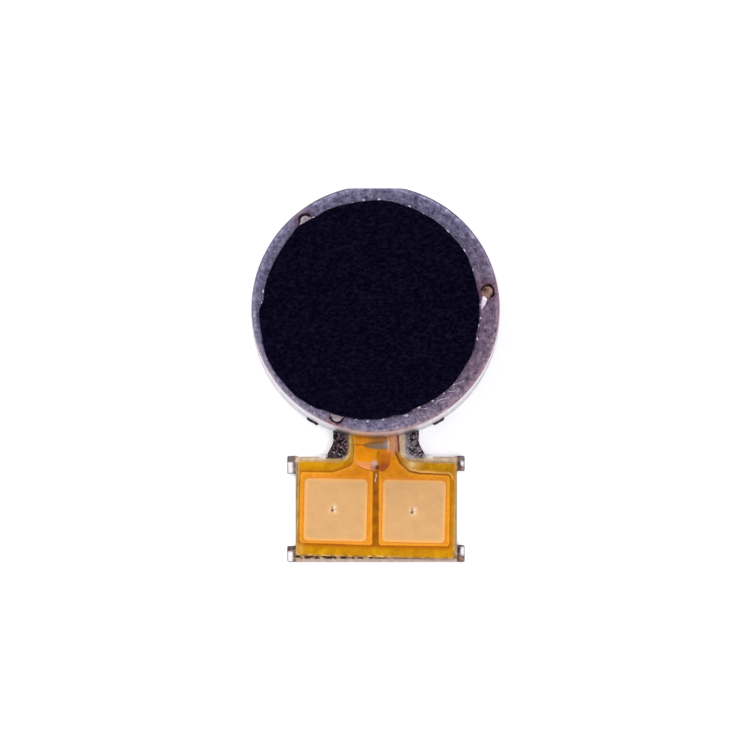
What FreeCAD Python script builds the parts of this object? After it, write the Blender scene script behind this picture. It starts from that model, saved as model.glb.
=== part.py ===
import FreeCAD, Part
import math
import os
from FreeCAD import Vector

# Coin vibrator of the linear resonant kind, with a bracket tail and a flex circuit.
# Millimetres. +Z up, towards the foam. The origin is on the coin's axis, on the underside of
# the base plate. The tail points along -Y. +X is to the right with the foam towards the viewer
# and the tail below.

# ---------------------------------------------------------------- driving dimensions
# can
CAN_R = 5.00            # outer radius
CAN_TOP_Z = 3.00        # top face of the can
CAN_T = 0.20            # sheet thickness
CAN_EDGE_R = 0.24       # rounded outer top edge
CAN_INNER_EDGE_R = 0.06
CAN_FLAT_Y = 4.86       # shallow flat on the side away from the tail
TAIL_OPENING_X = (-1.80, 1.84)   # opening in the wall for the bracket neck
TAIL_OPENING_Z = 0.44
NOTCH_ANGLES = (239.5, 300.5, 59.5, 120.5)  # lock notches at the foot of the wall, degrees from +X
NOTCH_W = 0.54
NOTCH_Z = 0.56

# base plate with tail
BASE_T = 0.20
BASE_R = 4.78
LUG_R = 4.93            # lugs of the base plate inside the lock notches
LUG_W = 0.42
NECK_X = (-1.71, 1.75)
NECK_FLARE_X = (-2.00, 2.04)
NECK_FLARE_Y = -5.20
TAB_TOP_Y = -5.74
TAB_X = (-3.22, 3.28)
TAB_BOTTOM_Y = -9.99
EAR_X = (-3.56, 3.59)
EAR_TOP_Y = -5.70
EAR_TOP_LOW_Y = (-6.42, -6.31)       # left, right
EAR_BOTTOM_HIGH_Y = (-9.34, -9.30)   # left, right

# flex circuit layers, one above the other
FLEX_ADHESIVE_T = 0.030
FLEX_BASE_T = 0.025
COPPER_T = 0.020
COVER_OVER_COPPER_T = 0.025
PAD_T = 0.016
FLEX_TILT = -1.3        # the flex sits slightly turned on the bracket, degrees
FLEX_CENTRE = (0.03, -7.86)
FLEX_HALF = (3.19, 1.945)
FLEX_NECK_HALF = 1.06
FLEX_LEFT_DROP = 0.06    # the film's left shoulder is cut this much lower than a true rectangle
FLEX_NECK_END_Y = -2.95  # end of the flex inside the can
PAD_SIZE = (2.57, 2.56)
PAD_CORNER_R = 0.20
PAD_LEFT = (-1.612, -7.897)
PAD_RIGHT = (1.546, -7.955)
PAD_GAP = 0.008          # between pad and window
DIMPLE_R = 0.11
DIMPLE_DEPTH = 0.010
DIMPLE_LEFT = (-1.731, -7.893)
DIMPLE_RIGHT = (1.485, -7.974)

# coil, fixed to the base plate
COIL_RI = 1.95
COIL_RO = 2.45
COIL_Z = (0.23, 1.45)
LEAD_R = 0.030
SOLDER_X = 0.55
SOLDER_Y = -3.35
SOLDER_R = 0.22

# moving mass, at rest
TRAVEL = 0.30
PLATE_Z = (0.70, 0.90)
PLATE_R = 1.70
MAGNET_R = 1.65
MAGNET_Z = (0.90, 1.95)
YOKE_TOP_Z = 2.15
YOKE_DISC_T = 0.20
YOKE_R = 2.95
YOKE_SKIRT_T = 0.25
YOKE_SKIRT_Z = 0.80
WEIGHT_RI = 2.95
WEIGHT_RO = 4.35
WEIGHT_Z = (0.75, 2.05)
FLUID_R = 1.80

# suspension spring
SPRING_T = 0.10
SPRING_OUTER = (4.12, 4.75)
SPRING_INNER = (0.60, 1.60)
SPRING_ARM_W = 0.55
SPRING_ARM_SWEEP = 235.0
SPRING_ARM_START = 20.0

# dampers
LOWER_DAMPER_R = 1.15
LOWER_DAMPER_T = 0.17
UPPER_DAMPER_R = 1.25
UPPER_DAMPER_T = 0.20

# welds between spring and can: (angle, radius) from the coin's axis
SPRING_WELDS = ((8.7, 4.55), (128.5, 4.52), (250.4, 4.62))
WELD_R = 0.28
WELD_DEPTH = 0.10
WELD_DISH = 0.012

# foam
FOAM_CENTRE = (-0.163, -0.076)
FOAM_R = 4.39
FOAM_ADHESIVE_T = 0.05
FOAM_T = 0.25

# ---------------------------------------------------------------- helpers


def cyl(r, z0, z1, x=0.0, y=0.0):
    return Part.makeCylinder(r, z1 - z0, Vector(x, y, z0), Vector(0, 0, 1))


def ring(r0, r1, z0, z1, x=0.0, y=0.0):
    return cyl(r1, z0, z1, x, y).cut(cyl(r0, z0 - 1, z1 + 1, x, y))


def block(x0, x1, y0, y1, z0, z1):
    return Part.makeBox(x1 - x0, y1 - y0, z1 - z0, Vector(x0, y0, z0))


def turned(points, tilt, centre):
    """The (x, y[, r]) points turned by tilt degrees about centre."""
    c, s = math.cos(math.radians(tilt)), math.sin(math.radians(tilt))
    out = []
    for p in points:
        dx, dy = p[0] - centre[0], p[1] - centre[1]
        out.append((centre[0] + c * dx - s * dy, centre[1] + s * dx + c * dy) + tuple(p[2:]))
    return out


def outline(points):
    """Closed flat wire through (x, y, r) points, each corner rounded with radius r."""
    n = len(points)
    edges, tangents = [], []
    for i in range(n):
        x, y = points[i][0], points[i][1]
        r = points[i][2] if len(points[i]) > 2 else 0.0
        p = Vector(x, y, 0)
        a = Vector(points[i - 1][0], points[i - 1][1], 0)
        b = Vector(points[(i + 1) % n][0], points[(i + 1) % n][1], 0)
        u, v = (a - p).normalize(), (b - p).normalize()
        if r <= 0:
            tangents.append((p, p, None))
            continue
        half = math.acos(max(-1.0, min(1.0, u.dot(v)))) / 2
        d = r / math.tan(half)
        start, end = p + u * d, p + v * d
        middle_dir = (u + v).normalize()
        centre = p + middle_dir * (r / math.sin(half))
        middle = centre - middle_dir * r
        tangents.append((start, end, middle))
    for i in range(n):
        start, end, middle = tangents[i]
        if middle is not None:
            edges.append(Part.Arc(start, middle, end).toShape())
        following = tangents[(i + 1) % n][0]
        if (following - end).Length > 1e-6:
            edges.append(Part.LineSegment(end, following).toShape())
    return Part.Wire(edges)


def plate(points, z0, z1):
    face = Part.Face(outline(points))
    face.translate(Vector(0, 0, z0))
    return face.extrude(Vector(0, 0, z1 - z0))


def rounded_rect(cx, cy, w, h, r, tilt=0.0):
    pts = [
        (cx - w / 2, cy - h / 2, r),
        (cx + w / 2, cy - h / 2, r),
        (cx + w / 2, cy + h / 2, r),
        (cx - w / 2, cy + h / 2, r),
    ]
    return turned(pts, tilt, (cx, cy))


def save(name, shape):
    solids = shape.Solids
    if len(solids) == 1:
        shape = solids[0]
    elif len(solids) > 1:
        shape = Part.Compound(solids)
    if not solids or not shape.isValid():
        raise RuntimeError(name + " is not a valid solid")
    shape.exportStep(os.path.join("parts", name + ".step"))
    print(name, len(solids), "solid(s)", round(shape.Volume, 5), "mm3")
    return shape


os.makedirs("parts", exist_ok=True)

# ---------------------------------------------------------------- can
def revolved(points):
    """Solid of revolution about Z from (r, z) points and arcs: an entry of three items is an arc end with its middle point."""
    edges, last = [], None
    for p in points:
        q = Vector(p[0], 0, p[1])
        if last is not None:
            if len(p) == 4:
                edges.append(Part.Arc(last, Vector(p[2], 0, p[3]), q).toShape())
            else:
                edges.append(Part.LineSegment(last, q).toShape())
        last = q
    face = Part.Face(Part.Wire(edges))
    return face.revolve(Vector(0, 0, 0), Vector(0, 0, 1), 360)


k = 1 - math.sqrt(0.5)
outer = revolved([
    (0, 0), (CAN_R, 0), (CAN_R, CAN_TOP_Z - CAN_EDGE_R),
    (CAN_R - CAN_EDGE_R, CAN_TOP_Z, CAN_R - CAN_EDGE_R * k, CAN_TOP_Z - CAN_EDGE_R * k),
    (0, CAN_TOP_Z), (0, 0),
])
outer = outer.cut(block(-3, 3, CAN_FLAT_Y, 6, -1, 4))
in_r, in_z, in_e = CAN_R - CAN_T, CAN_TOP_Z - CAN_T, CAN_INNER_EDGE_R
cavity = revolved([
    (0, -0.5), (in_r, -0.5), (in_r, in_z - in_e),
    (in_r - in_e, in_z, in_r - in_e * k, in_z - in_e * k),
    (0, in_z), (0, -0.5),
])
cavity = cavity.cut(block(-3, 3, CAN_FLAT_Y - CAN_T, 6, -1, 4))
case = outer.cut(cavity)
# opening over the neck of the bracket
opening = plate([
    (TAIL_OPENING_X[0], -1.0, 0), (TAIL_OPENING_X[1], -1.0, 0),
    (TAIL_OPENING_X[1], TAIL_OPENING_Z, 0.10), (TAIL_OPENING_X[0], TAIL_OPENING_Z, 0.10),
], 0, 2.0)
opening.rotate(Vector(0, 0, 0), Vector(1, 0, 0), 90)
opening.translate(Vector(0, -3.6, 0))
case = case.cut(opening)
# lock notches at the foot
for a in NOTCH_ANGLES:
    notch = block(4.5, 5.3, -NOTCH_W / 2, NOTCH_W / 2, -1, NOTCH_Z)
    notch.rotate(Vector(0, 0, 0), Vector(0, 0, 1), a)
    case = case.cut(notch)
# the spring's weld nuggets melt a little way into the top face
nuggets = []
for a, r in SPRING_WELDS:
    x, y = r * math.cos(math.radians(a)), r * math.sin(math.radians(a))
    pocket = cyl(WELD_R, CAN_TOP_Z - WELD_DEPTH, CAN_TOP_Z + 1, x, y)
    case = case.cut(pocket)
    nuggets.append(cyl(WELD_R, CAN_TOP_Z - WELD_DEPTH, CAN_TOP_Z - WELD_DISH, x, y))
save("case", case)
save("spring_weld_spots", Part.Compound(nuggets))

# ---------------------------------------------------------------- base plate and tail
disc = cyl(BASE_R, 0, BASE_T).cut(block(-3, 3, CAN_FLAT_Y - CAN_T - 0.02, 6, -1, 2))
for a in NOTCH_ANGLES:
    lug = block(4.3, LUG_R, -LUG_W / 2, LUG_W / 2, 0, BASE_T)
    lug.rotate(Vector(0, 0, 0), Vector(0, 0, 1), a)
    disc = disc.fuse(lug)
tail = plate([
    (NECK_X[0], -4.2, 0), (NECK_X[0], NECK_FLARE_Y, 0.5), (NECK_FLARE_X[0], TAB_TOP_Y + 0.02, 0.05),
    # small raised lips each side of the neck
    (NECK_FLARE_X[0] - 0.03, TAB_TOP_Y + 0.09, 0.02), (NECK_FLARE_X[0] - 0.14, TAB_TOP_Y + 0.09, 0.05),
    (NECK_FLARE_X[0] - 0.27, TAB_TOP_Y, 0.12),
    (TAB_X[0] + 0.10, TAB_TOP_Y, 0.03), (TAB_X[0] + 0.06, EAR_TOP_Y, 0.02),
    (EAR_X[0], EAR_TOP_Y, 0.07), (EAR_X[0], EAR_TOP_LOW_Y[0], 0.05), (TAB_X[0], EAR_TOP_LOW_Y[0], 0.06),
    (TAB_X[0], EAR_BOTTOM_HIGH_Y[0], 0.06), (EAR_X[0], EAR_BOTTOM_HIGH_Y[0], 0.05),
    (EAR_X[0], TAB_BOTTOM_Y, 0.08), (EAR_X[1], TAB_BOTTOM_Y, 0.08),
    (EAR_X[1], EAR_BOTTOM_HIGH_Y[1], 0.07), (TAB_X[1], EAR_BOTTOM_HIGH_Y[1], 0.06),
    (TAB_X[1], EAR_TOP_LOW_Y[1], 0.06), (EAR_X[1], EAR_TOP_LOW_Y[1], 0.06),
    (EAR_X[1], EAR_TOP_Y, 0.05), (TAB_X[1] - 0.08, EAR_TOP_Y, 0.02), (TAB_X[1] - 0.12, TAB_TOP_Y, 0.03),
    (NECK_FLARE_X[1] + 0.27, TAB_TOP_Y, 0.12),
    (NECK_FLARE_X[1] + 0.14, TAB_TOP_Y + 0.09, 0.05), (NECK_FLARE_X[1] + 0.03, TAB_TOP_Y + 0.09, 0.02),
    (NECK_FLARE_X[1], TAB_TOP_Y + 0.02, 0.05), (NECK_X[1], NECK_FLARE_Y, 0.5), (NECK_X[1], -4.2, 0),
], 0, BASE_T)
bracket = disc.fuse(tail).removeSplitter()
save("bracket", bracket)

# weld beads that fill the lower part of each notch, on the lugs
beads = []
for a in NOTCH_ANGLES:
    bead = block(4.80, LUG_R - 0.01, -NOTCH_W / 2, NOTCH_W / 2, BASE_T, NOTCH_Z - 0.10)
    bead = bead.makeFillet(0.04, [e for e in bead.Edges if abs(e.CenterOfMass.x - (LUG_R - 0.01)) < 1e-6 and abs(e.CenterOfMass.z - (NOTCH_Z - 0.10)) < 1e-6])
    bead.rotate(Vector(0, 0, 0), Vector(0, 0, 1), a)
    beads.append(bead)
save("bracket_weld_beads", Part.Compound(beads))

# ---------------------------------------------------------------- flex circuit
z = BASE_T
z_adh = z + FLEX_ADHESIVE_T
z_base = z_adh + FLEX_BASE_T
z_cu = z_base + COPPER_T
z_cover = z_cu + COVER_OVER_COPPER_T
fcx, fcy = FLEX_CENTRE
fhx, fhy = FLEX_HALF


def flex_outline(inset=0.0, end=0.0):
    # flared neck into a rectangle, turned a little on the bracket
    n = FLEX_NECK_HALF - inset
    pts = [
        (-n, FLEX_NECK_END_Y + end, 0.15), (-n, fcy + fhy - inset, 0.42),
        (fcx - fhx + inset, fcy + fhy - inset, 0.12), (fcx - fhx + inset, fcy - fhy + inset, 0.10),
        (fcx + fhx - inset, fcy - fhy + inset, 0.10), (fcx + fhx - inset, fcy + fhy - inset, 0.12),
        (n, fcy + fhy - inset, 0.42), (n, FLEX_NECK_END_Y + end, 0.15),
    ]
    head = turned(pts[2:6], FLEX_TILT, FLEX_CENTRE)
    c = math.tan(math.radians(FLEX_TILT))
    left = (pts[1][0], pts[1][1] + c * (pts[1][0] - fcx) - FLEX_LEFT_DROP, 0.42)
    head[0] = (head[0][0], head[0][1] - FLEX_LEFT_DROP, 0.12)
    right = (pts[6][0], pts[6][1] + c * (pts[6][0] - fcx), 0.42)
    return [pts[0], left] + head + [right, pts[7]]


save("flex_adhesive", plate(flex_outline(0.03), z, z_adh))
save("flex_base_film", plate(flex_outline(), z_adh, z_base))


def copper_left():
    return [
        (-3.02, -6.375, 0.10), (-1.81, -6.405, 0.60), (-0.86, -5.97, 0.45), (-0.80, -3.60, 0.10),
        (-0.80, -3.10, 0.10), (-0.22, -3.10, 0.10), (-0.13, -6.00, 0.05), (-0.11, -6.42, 0.05),
        (-0.14, -9.315, 0.10), (-3.06, -9.214, 0.12),
    ]


def copper_right():
    return [
        (0.13, -6.42, 0.05), (0.13, -6.00, 0.05), (0.22, -3.10, 0.10), (0.80, -3.10, 0.10),
        (0.80, -3.60, 0.10), (0.72, -5.50, 0.60), (1.42, -6.27, 0.30), (1.73, -6.46, 0.30),
        (2.99, -6.525, 0.12), (2.96, -9.36, 0.12), (0.14, -9.311, 0.10),
    ]


left_trace = plate(copper_left(), z_base, z_cu)
right_trace = plate(copper_right(), z_base, z_cu)
save("copper_trace_left", left_trace)
save("copper_trace_right", right_trace)

cover_pts = flex_outline()
cover = plate(cover_pts, z_base, z_cover).cut(left_trace).cut(right_trace)
for (px, py) in (PAD_LEFT, PAD_RIGHT):
    window = plate(rounded_rect(px, py, PAD_SIZE[0] + 2 * PAD_GAP, PAD_SIZE[1] + 2 * PAD_GAP, PAD_CORNER_R + PAD_GAP, FLEX_TILT), z_cu, z_cover + 1)
    cover = cover.cut(window)
for s in (-1, 1):
    cover = cover.cut(cyl(SOLDER_R + 0.01, z_cu, z_cover + 1, s * SOLDER_X, SOLDER_Y))
save("flex_coverlay", cover)


def pad(centre, dimple):
    body = plate(rounded_rect(centre[0], centre[1], PAD_SIZE[0], PAD_SIZE[1], PAD_CORNER_R, FLEX_TILT), z_cu, z_cu + PAD_T)
    dent = Part.makeCone(0.0, DIMPLE_R * 1.5, DIMPLE_DEPTH * 1.5, Vector(dimple[0], dimple[1], z_cu + PAD_T - DIMPLE_DEPTH), Vector(0, 0, 1))
    return body.cut(dent)


save("contact_pad_left", pad(PAD_LEFT, DIMPLE_LEFT))
save("contact_pad_right", pad(PAD_RIGHT, DIMPLE_RIGHT))

# clear glue over the flex where it leaves the can
sealant = plate([
    (-0.93, -4.84, 0.05), (-0.93, -5.75, 0.30), (-0.62, -6.30, 0.20), (0.30, -6.32, 0.20),
    (0.56, -6.05, 0.15), (0.56, -4.84, 0.05),
], z_cover, z_cover + 0.06)
save("exit_sealant", sealant)

# ---------------------------------------------------------------- coil
save("coil_adhesive", ring(COIL_RI + 0.03, COIL_RO - 0.03, BASE_T, COIL_Z[0]))
coil = ring(COIL_RI, COIL_RO, COIL_Z[0], COIL_Z[1])
coil = coil.makeFillet(0.04, [e for e in coil.Edges if e.Closed and abs(e.BoundBox.ZLength) < 1e-6])
save("voice_coil", coil)

joints, leads = [], []
joint_top = z_cu + 0.115
for s, side in ((-1, "left"), (1, "right")):
    x, y = s * SOLDER_X, SOLDER_Y
    dome = Part.makeSphere(0.27, Vector(x, y, joint_top - 0.27))
    dome = dome.common(cyl(SOLDER_R, z_cu, joint_top + 0.1, x, y))
    joints.append(dome)
    # a lead runs straight from the foot of the coil into the solder
    start = Vector(s * 0.42, -math.sqrt(COIL_RO ** 2 - 0.42 ** 2) + 0.01, COIL_Z[0] + 0.16)
    end = Vector(x, y + SOLDER_R * 0.55, joint_top - 0.035)
    d = end - start
    lead = Part.makeCylinder(LEAD_R, d.Length, start, d)
    leads.append(lead)
    save("coil_lead_" + side, lead.cut(coil).cut(dome))
save("solder_joints", Part.Compound(joints))

# ---------------------------------------------------------------- moving mass
plate_solid = cyl(PLATE_R, PLATE_Z[0], PLATE_Z[1])
plate_solid = plate_solid.makeFillet(0.03, [e for e in plate_solid.Edges if e.Closed and abs(e.CenterOfMass.z - PLATE_Z[0]) < 1e-6])
save("pole_plate", plate_solid)
magnet = cyl(MAGNET_R, MAGNET_Z[0], MAGNET_Z[1])
magnet = magnet.makeFillet(0.05, [e for e in magnet.Edges if e.Closed])
save("magnet", magnet)
yoke = cyl(YOKE_R, YOKE_TOP_Z - YOKE_DISC_T, YOKE_TOP_Z).fuse(ring(YOKE_R - YOKE_SKIRT_T, YOKE_R, YOKE_SKIRT_Z, YOKE_TOP_Z - YOKE_DISC_T / 2)).removeSplitter()
yoke = yoke.makeFillet(0.08, [e for e in yoke.Edges if e.Closed and abs(e.CenterOfMass.z - YOKE_TOP_Z) < 1e-6])
save("back_yoke", yoke)
weight = ring(WEIGHT_RI, WEIGHT_RO, WEIGHT_Z[0], WEIGHT_Z[1])
weight = weight.makeChamfer(0.08, [e for e in weight.Edges if e.Closed and e.BoundBox.XLength > 2 * WEIGHT_RO - 0.1])
save("weight_ring", weight)
# magnetic fluid: a band with a bulged outside on the edge of the pole plate
fz0, fz1 = PLATE_Z[0] + 0.035, PLATE_Z[1] - 0.02
fm = (fz0 + fz1) / 2
fluid = Part.Face(Part.Wire([
    Part.LineSegment(Vector(PLATE_R, 0, fz1), Vector(PLATE_R, 0, fz0)).toShape(),
    Part.Arc(Vector(PLATE_R, 0, fz0), Vector(FLUID_R, 0, fm), Vector(PLATE_R, 0, fz1)).toShape(),
])).revolve(Vector(0, 0, 0), Vector(0, 0, 1), 360)
save("ferrofluid_ring", fluid)

# ---------------------------------------------------------------- suspension spring
z_low, z_high = YOKE_TOP_Z, CAN_TOP_Z - CAN_T
outer_ring = ring(SPRING_OUTER[0], SPRING_OUTER[1], z_high - SPRING_T, z_high)
outer_ring = outer_ring.cut(block(-3, 3, CAN_FLAT_Y - CAN_T - 0.03, 6, 0, 4))
inner_ring = ring(SPRING_INNER[0], SPRING_INNER[1], z_low, z_low + SPRING_T)


def arm(start):
    # flat leaf that winds outwards and climbs from the inner ring to the outer ring
    skin = 0.004
    r0, r1 = SPRING_INNER[1] - 0.26, SPRING_OUTER[0] + 0.22
    wires = []
    n = 31
    for i in range(n):
        s = i / (n - 1)
        a = math.radians(start + SPRING_ARM_SWEEP * s)
        r = r0 + (r1 - r0) * s
        t = min(1.0, max(0.0, (s - 0.10) / 0.80))
        t = t * t * (3 - 2 * t)
        zz = z_low + skin + (z_high - SPRING_T - z_low) * t
        ux, uy = math.cos(a), math.sin(a)
        h = SPRING_ARM_W / 2
        c = [
            Vector((r - h) * ux, (r - h) * uy, zz), Vector((r + h) * ux, (r + h) * uy, zz),
            Vector((r + h) * ux, (r + h) * uy, zz + SPRING_T - 2 * skin),
            Vector((r - h) * ux, (r - h) * uy, zz + SPRING_T - 2 * skin),
        ]
        wires.append(Part.makePolygon(c + [c[0]]))
    return Part.makeLoft(wires, True, False)


spring = outer_ring.fuse(inner_ring)
for i in range(3):
    spring = spring.fuse(arm(SPRING_ARM_START + 120 * i))
save("suspension_spring", spring)
spots = []
for i in range(3):
    a = math.radians(SPRING_ARM_START + 60 + 120 * i)
    x, y = 1.42 * math.cos(a), 1.42 * math.sin(a)
    spots.append(cyl(0.12, z_low + SPRING_T, z_low + SPRING_T + 0.02, x, y))
save("yoke_weld_spots", Part.Compound(spots))

# ---------------------------------------------------------------- dampers
lower = cyl(LOWER_DAMPER_R, BASE_T, BASE_T + LOWER_DAMPER_T)
lower = lower.makeFillet(0.03, [e for e in lower.Edges if e.Closed and abs(e.CenterOfMass.z - BASE_T - LOWER_DAMPER_T) < 1e-6])
save("lower_damper", lower)
upper = cyl(UPPER_DAMPER_R, z_high - UPPER_DAMPER_T, z_high)
upper = upper.makeFillet(0.03, [e for e in upper.Edges if e.Closed and abs(e.CenterOfMass.z - z_high + UPPER_DAMPER_T) < 1e-6])
save("upper_damper", upper)

# ---------------------------------------------------------------- foam
fx, fy = FOAM_CENTRE
save("foam_adhesive", cyl(FOAM_R - 0.06, CAN_TOP_Z, CAN_TOP_Z + FOAM_ADHESIVE_T, fx, fy))
foam_z = CAN_TOP_Z + FOAM_ADHESIVE_T
foam = cyl(FOAM_R, foam_z, foam_z + FOAM_T, fx, fy)
foam = foam.makeFillet(0.05, [e for e in foam.Edges if e.Closed and abs(e.CenterOfMass.z - foam_z - FOAM_T) < 1e-6])
save("foam_pad", foam)
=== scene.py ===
import bpy, bmesh, math
import numpy as np
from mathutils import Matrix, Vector
from mathutils.geometry import delaunay_2d_cdt


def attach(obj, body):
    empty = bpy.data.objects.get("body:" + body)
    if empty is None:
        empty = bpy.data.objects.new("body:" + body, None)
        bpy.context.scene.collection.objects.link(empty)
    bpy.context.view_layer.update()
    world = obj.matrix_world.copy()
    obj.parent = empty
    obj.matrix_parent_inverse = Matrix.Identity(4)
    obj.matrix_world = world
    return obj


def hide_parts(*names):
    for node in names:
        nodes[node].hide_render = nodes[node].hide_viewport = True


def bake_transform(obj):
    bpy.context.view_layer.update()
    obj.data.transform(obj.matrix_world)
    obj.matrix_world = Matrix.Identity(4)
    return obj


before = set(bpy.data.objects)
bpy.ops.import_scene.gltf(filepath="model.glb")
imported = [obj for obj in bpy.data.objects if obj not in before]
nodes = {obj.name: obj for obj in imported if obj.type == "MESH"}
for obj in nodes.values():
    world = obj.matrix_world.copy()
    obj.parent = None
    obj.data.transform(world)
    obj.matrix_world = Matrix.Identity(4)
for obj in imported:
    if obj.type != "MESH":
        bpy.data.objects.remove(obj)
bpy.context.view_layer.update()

MM = 0.001
scene = bpy.context.scene
scene.view_settings.view_transform = "Standard"
scene.view_settings.look = "None"


# ------------------------------------------------------------------ flat geometry
def outline(points, step=0.06, arc=0.03):
    """Closed line through (x, y, r) corners, each rounded by r, with no stretch longer than step."""
    out, n = [], len(points)
    for i in range(n):
        p = np.array(points[i][:2], float)
        r = points[i][2] if len(points[i]) > 2 else 0.0
        if r <= 0:
            out.append(p)
            continue
        a, b = np.array(points[i - 1][:2], float), np.array(points[(i + 1) % n][:2], float)
        u, v = (a - p) / np.linalg.norm(a - p), (b - p) / np.linalg.norm(b - p)
        half = math.acos(max(-1.0, min(1.0, float(u @ v)))) / 2
        c = p + (u + v) / np.linalg.norm(u + v) * (r / math.sin(half))
        s, e = p + u * (r / math.tan(half)) - c, p + v * (r / math.tan(half)) - c
        a0, a1 = math.atan2(s[1], s[0]), math.atan2(e[1], e[0])
        da = (a1 - a0 + math.pi) % (2 * math.pi) - math.pi
        k = max(2, math.ceil(abs(da) * r / arc), math.ceil(abs(da) / 0.35))
        for j in range(k + 1):
            t = a0 + da * j / k
            out.append(c + r * np.array((math.cos(t), math.sin(t))))
    kept = []
    for p in out:
        if not kept or np.linalg.norm(p - kept[-1]) > 1e-4:
            kept.append(p)
    if np.linalg.norm(kept[0] - kept[-1]) < 1e-4:
        kept.pop()
    res = []
    for i, p in enumerate(kept):
        q = kept[(i + 1) % len(kept)]
        m = max(1, math.ceil(np.linalg.norm(q - p) / step))
        res += [p + (q - p) * j / m for j in range(m)]
    return ccw(np.array(res))


def ccw(loop):
    x, y = loop[:, 0], loop[:, 1]
    area = (x * np.roll(y, -1) - y * np.roll(x, -1)).sum()
    return loop if area > 0 else loop[::-1].copy()


def circle(r, cx=0.0, cy=0.0, n=96, radii=None):
    t = np.arange(n) * 2 * math.pi / n
    rr = r if radii is None else radii
    return np.stack([cx + rr * np.cos(t), cy + rr * np.sin(t)], 1)


def inset(loop, d):
    """The closed line moved inwards by d (outwards if d is negative)."""
    a, b = np.roll(loop, 1, 0), np.roll(loop, -1, 0)
    t1 = (loop - a) / np.linalg.norm(loop - a, axis=1)[:, None]
    t2 = (b - loop) / np.linalg.norm(b - loop, axis=1)[:, None]
    n1, n2 = np.stack([-t1[:, 1], t1[:, 0]], 1), np.stack([-t2[:, 1], t2[:, 0]], 1)
    m = n1 + n2
    m /= np.maximum(np.linalg.norm(m, axis=1), 1e-9)[:, None]
    s = 1 / np.maximum((m * n1).sum(1), 0.5)
    return loop + m * (d * s)[:, None]


def turned(points, tilt, centre):
    c, s = math.cos(math.radians(tilt)), math.sin(math.radians(tilt))
    return [(centre[0] + c * (p[0] - centre[0]) - s * (p[1] - centre[1]),
             centre[1] + s * (p[0] - centre[0]) + c * (p[1] - centre[1])) + tuple(p[2:]) for p in points]


def near(pts, loop, closed=True):
    """Distance of each point to a line."""
    a = loop if closed else loop[:-1]
    b = np.roll(loop, -1, 0) if closed else loop[1:]
    best = np.full(len(pts), 1e9)
    for i in range(0, len(a), 64):
        p, q = a[i:i + 64], b[i:i + 64]
        d = q - p
        L = np.maximum((d * d).sum(1), 1e-12)
        w = pts[:, None, :] - p[None]
        t = np.clip((w * d[None]).sum(2) / L[None], 0, 1)
        best = np.minimum(best, np.linalg.norm(w - t[:, :, None] * d[None], axis=2).min(1))
    return best


def inside(pts, loop):
    x, y = pts[:, 0][:, None], pts[:, 1][:, None]
    x1, y1 = loop[:, 0][None], loop[:, 1][None]
    nx = np.roll(loop, -1, 0)
    x2, y2 = nx[:, 0][None], nx[:, 1][None]
    cross = ((y1 > y) != (y2 > y)) & (x < (x2 - x1) * (y - y1) / np.where(y2 == y1, 1e-12, y2 - y1) + x1)
    return (cross.sum(1) % 2) == 1


def signed(pts, loop):
    """Distance into the closed line: positive inside."""
    d = near(pts, loop)
    return np.where(inside(pts, loop), d, -d)


def hexgrid(lo, hi, s):
    xs = np.arange(lo[0] - s, hi[0] + s, s)
    ys = np.arange(lo[1] - s, hi[1] + s, s * 0.866)
    g = [(x + (s / 2 if j % 2 else 0), y) for j, y in enumerate(ys) for x in xs]
    return np.array(g)


def smoothstep(a, b, x):
    t = np.clip((x - a) / (b - a), 0, 1)
    return t * t * (3 - 2 * t)


def bumps(x, y, z=0.0, seed=0, scale=1.0, octaves=3):
    """Smooth made-up relief from -1 to 1 out of crossed waves, the same every time."""
    out, amp, total = np.zeros(np.shape(x)), 1.0, 0.0
    rng = np.random.RandomState(1000 + seed)
    f = scale
    for _ in range(octaves):
        part = np.zeros(np.shape(x))
        for _ in range(7):
            a, ph, k = rng.uniform(0, 2 * math.pi), rng.uniform(0, 2 * math.pi), rng.uniform(0.6, 1.5)
            zz = rng.uniform(-1, 1)
            part = part + np.sin((x * math.cos(a) + y * math.sin(a) + z * zz) * f * k * 2 * math.pi + ph)
        out = out + amp * part / 3.2
        total += amp
        amp *= 0.55
        f *= 2.1
    return out / total


# ------------------------------------------------------------------ meshes
def make(name, verts, faces, body, material, replaces=(), smooth=38.0, attributes=None, doubles=1e-5):
    """A mesh piece from millimetre points: merged, turned outwards, smooth below the given angle."""
    me = bpy.data.meshes.new(name)
    me.from_pydata([tuple(float(c) for c in v) for v in verts], [], [tuple(int(i) for i in f) for f in faces])
    bm = bmesh.new()
    bm.from_mesh(me)
    if doubles:
        bmesh.ops.remove_doubles(bm, verts=bm.verts, dist=doubles)
    loose = [v for v in bm.verts if not v.link_faces]
    bmesh.ops.delete(bm, geom=loose, context="VERTS")
    bmesh.ops.recalc_face_normals(bm, faces=bm.faces)
    bm.to_mesh(me)
    bm.free()
    return finish_mesh(name, me, body, material, replaces, smooth, attributes)


def finish_mesh(name, me, body, material, replaces, smooth, attributes):
    co = np.empty(len(me.vertices) * 3)
    me.vertices.foreach_get("co", co)
    co = co.reshape(-1, 3)
    for key, f in (attributes or {}).items():
        value = np.asarray(f(co), np.float32)
        if value.ndim == 2:
            if value.shape[1] == 3:
                value = np.concatenate([value, np.ones((len(value), 1), np.float32)], 1)
            a = me.attributes.new(key, "FLOAT_COLOR", "POINT")
            a.data.foreach_set("color", value.ravel())
        else:
            a = me.attributes.new(key, "FLOAT", "POINT")
            a.data.foreach_set("value", value)
    me.vertices.foreach_set("co", (co * MM).ravel())
    me.polygons.foreach_set("use_smooth", np.ones(len(me.polygons), bool))
    me.update()
    me.set_sharp_from_angle(angle=math.radians(smooth))
    ob = bpy.data.objects.new(name, me)
    scene.collection.objects.link(ob)
    me.materials.append(material)
    if body:
        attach(ob, body)
    if replaces:
        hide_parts(*replaces)
    return ob


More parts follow.
